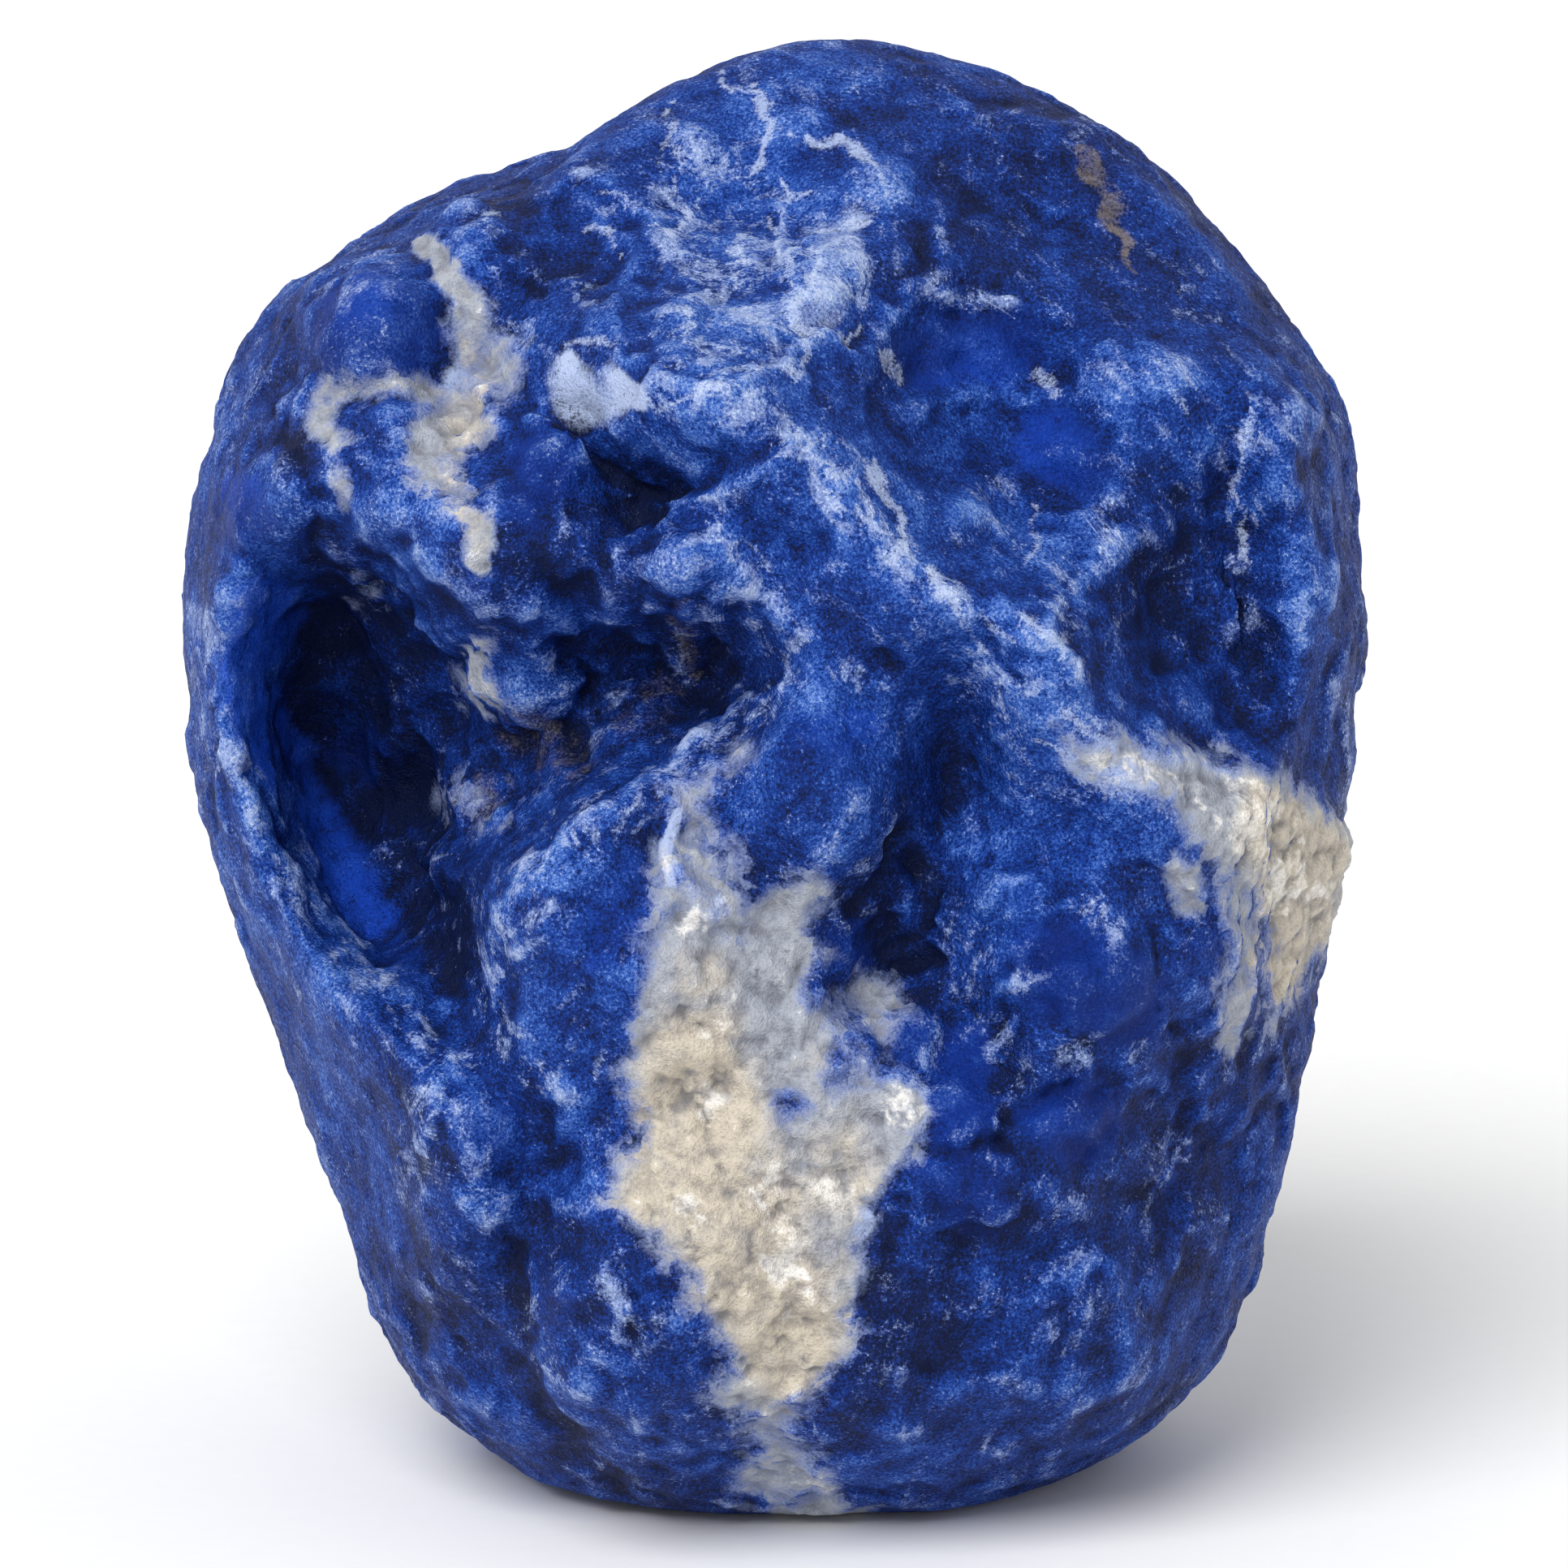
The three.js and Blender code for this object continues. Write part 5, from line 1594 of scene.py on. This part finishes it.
# %% Sodalite with calcite
SEAM_BLUE = linear(140, 156, 200)
MM_IN_METRE = (1000.0, 1000.0, 1000.0)
GRAIN_CLOUD = (0.14, 2.0, 0.85, 0.0, 41.0)
VEIL_CLOUD = (2.0, 5.0, 0.77, 0.5, 17.0)
BREAK_CLOUD = (0.7, 1.0, 0.6, 0.0, 29.0)
FLAKE_SIZE = 0.75
STIR_SIZE = 0.8
STIR_AMOUNT = 0.7
DEPTH_MIDDLE = 0.695
SEAM_RISE = (0.15, 0.6, 0.7)
SUGAR_RISE = (0.35, 0.75)
ROUGH_RANGE = {"From Min": 0.35, "From Max": 0.7, "To Min": 0.66, "To Max": 0.4}
BEND_OF_LIGHT = 1.49
SHEEN = 0.16
BUMP_HEIGHT = 0.0002
BUMP_STRENGTH = 0.8


def stirred(tree, place):
    """The place pushed about by noise, so that cells on it lose their straight edges."""
    feeds = {"Vector": place, "Scale": 1.0 / STIR_SIZE, "Detail": 1.0}
    push = node(tree, "ShaderNodeTexNoise", feeds).outputs["Color"]
    feeds = {0: push, 1: (STIR_AMOUNT,) * 3, 2: (-STIR_AMOUNT / 2,) * 3}
    push = node(tree, "ShaderNodeVectorMath", feeds, operation="MULTIPLY_ADD").outputs[0]
    return node(tree, "ShaderNodeVectorMath", {0: place, 1: push}).outputs[0]


def flakes(tree, place):
    """One random number for each flake."""
    feeds = {"Vector": stirred(tree, place), "Scale": 1.0 / FLAKE_SIZE}
    cell = node(tree, "ShaderNodeTexVoronoi", feeds).outputs["Color"]
    return node(tree, "ShaderNodeSeparateColor", {"Color": cell}).outputs[0]


def calcite_over(tree, blue, sugar, flake, grain, veil):
    """The calcite's colour laid over the blue, with a frayed edge and a pale seam."""
    shares = ((mark(tree, "calcite"), 1.0), (veil, 0.7), (grain, 0.45), (flake, 0.24))
    depth = maths(tree, "SUBTRACT", summed(tree, *shares), DEPTH_MIDDLE)
    seam = over(tree, rise(tree, depth, *SEAM_RISE), blue, SEAM_BLUE)
    return over(tree, rise(tree, depth, *SUGAR_RISE), seam, sugar)


def surface_bump(tree, place, grain, sugar_height):
    """The finest roughness: broken grain on the blue, sugar on the calcite."""
    broken = summed(tree, (grain, 1.2), (clouds(tree, place, *BREAK_CLOUD), 1.4))
    height = over_height(tree, mark(tree, "calcite"), broken, sugar_height)
    feeds = {"Height": height, "Distance": BUMP_HEIGHT, "Strength": BUMP_STRENGTH}
    return node(tree, "ShaderNodeBump", feeds).outputs["Normal"]


def stone_material():
    """Sodalite with its calcite veins."""
    material = bpy.data.materials.new("sodalite_with_calcite")
    material.use_nodes = True
    tree = material.node_tree
    tree.nodes.clear()
    where = node(tree, "ShaderNodeTexCoord").outputs["Object"]
    place = node(tree, "ShaderNodeMapping", {"Vector": where, "Scale": MM_IN_METRE}).outputs[0]
    grain = clouds(tree, place, *GRAIN_CLOUD)
    veil = clouds(tree, place, *VEIL_CLOUD)
    flake = flakes(tree, place)
    blue = frosted(tree, blue_body(tree, place, flake, grain), flake, grain, veil)
    # The crest numbers also drive the painted light and shade of the calcite sugar.
    worn = summed(tree, (mark(tree, "crest_small"), 1.0), (mark(tree, "crest_large"), 0.6))
    sugar = node(tree, "ShaderNodeGroup", node_tree=sugar_group)
    given = {"Place": place, "Cream": mark(tree, "cream"), "White": mark(tree, "whiten_and_highlight"), "Crest": worn}
    for name, value in given.items():
        tree.links.new(value, sugar.inputs[name])
    finish = node(tree, "ShaderNodeBsdfPrincipled", {
        "Base Color": calcite_over(tree, blue, sugar.outputs["Color"], flake, grain, veil),
        "Roughness": node(tree, "ShaderNodeMapRange", {"Value": grain, **ROUGH_RANGE}).outputs[0],
        "Normal": surface_bump(tree, place, grain, sugar.outputs["Height"]),
        "IOR": BEND_OF_LIGHT,
        "Specular IOR Level": SHEEN,
    })
    node(tree, "ShaderNodeOutputMaterial", {"Surface": finish.outputs[0]})
    return material


stone_mesh.materials.clear()
stone_mesh.materials.append(stone_material())
for face in stone_mesh.polygons:
    face.material_index = 0
print("finish", stone_mesh.materials[0].name)

# %% [markdown]
# ## Joining the stone to the frame
# The dressed stone stands for the plain solid, which is then not shown. It is one rock, so it rides
# on the part's one body and takes the part's one material slot. Splitting off the calcite as a
# second piece would tear it from the rock that it grew in.

# %% Ride and replace
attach(stone, "root")
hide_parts(STONE_NODE)
print("the stone rides on root")

# %% [markdown]
# ## Floor and light
# The stone stands on a plain pale floor. A lamp near it would give hard shadows in the scoops. A
# broad soft sun from the upper left in front models them gently instead, and an even white sky
# fills the shadows, as a light tent would.

# %% Floor, sky and sun
FLOOR_SIDE = 6.0
FLOOR_ROUGHNESS = 0.9
FLOOR_FEEDS = {"Scale": 900.0, "Detail": 2.0}
PAPER_SHADES = ((0.93, 0.93, 0.93, 1.0), (0.96, 0.96, 0.96, 1.0))
SUN_STRENGTH = 2.45
SUN_SOFTNESS = math.radians(40.0)
SUN_WAY = (0.45, 0.95, -1.1)
SKY_STRENGTH = 0.63
SKY_WHITE = (1.0, 1.0, 1.0, 1.0)


def pale_paper():
    """Matt paper with a faint unevenness."""
    paper = bpy.data.materials.new("pale_paper")
    paper.use_nodes = True
    tree = paper.node_tree
    matt = tree.nodes["Principled BSDF"]
    matt.inputs["Roughness"].default_value = FLOOR_ROUGHNESS
    place = node(tree, "ShaderNodeTexCoord").outputs["Object"]
    faint = node(tree, "ShaderNodeTexNoise", {"Vector": place, **FLOOR_FEEDS}).outputs["Fac"]
    tree.links.new(over(tree, faint, *PAPER_SHADES), matt.inputs["Base Color"])
    return paper


def make_floor():
    """A wide pale floor at the stone's foot."""
    half = FLOOR_SIDE / 2
    corners = [(-half, -half, 0), (half, -half, 0), (half, half, 0), (-half, half, 0)]
    mesh = bpy.data.meshes.new("studio_floor")
    mesh.from_pydata(corners, [], [(0, 1, 2, 3)])
    floor = plain_object("studio_floor", mesh)
    mesh.materials.append(pale_paper())
    floor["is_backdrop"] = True
    return floor


def make_light():
    """A soft sun and a white sky."""
    sun = bpy.data.lights.new("soft_sun", "SUN")
    sun.energy = SUN_STRENGTH
    sun.angle = SUN_SOFTNESS
    holder = plain_object("soft_sun", sun)
    holder.rotation_euler = Vector(SUN_WAY).to_track_quat("-Z", "Y").to_euler()
    sky = bpy.data.worlds.new("white_sky")
    sky.use_nodes = True
    glow = sky.node_tree.nodes["Background"]
    glow.inputs["Color"].default_value = SKY_WHITE
    glow.inputs["Strength"].default_value = SKY_STRENGTH
    bpy.context.scene.world = sky
    bpy.context.scene.view_settings.view_transform = "Standard"
    return holder


print("stage", make_floor().name, "and", make_light().name)

# %% [markdown]
# The dressed stone has to stay as large as the solid, or it wouldn't fit where the solid fits. A
# drawing could be laid over another to see it, but numbers are surer.

# %% Sizes and finish
new_low, new_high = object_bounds()
for axis, name in enumerate("xyz"):
    up = round((new_high[axis] - CAD_HIGH[axis]) / MM, 2)
    down = round((CAD_LOW[axis] - new_low[axis]) / MM, 2)
    print(name, "grows by", up, "mm up and", down, "mm down")
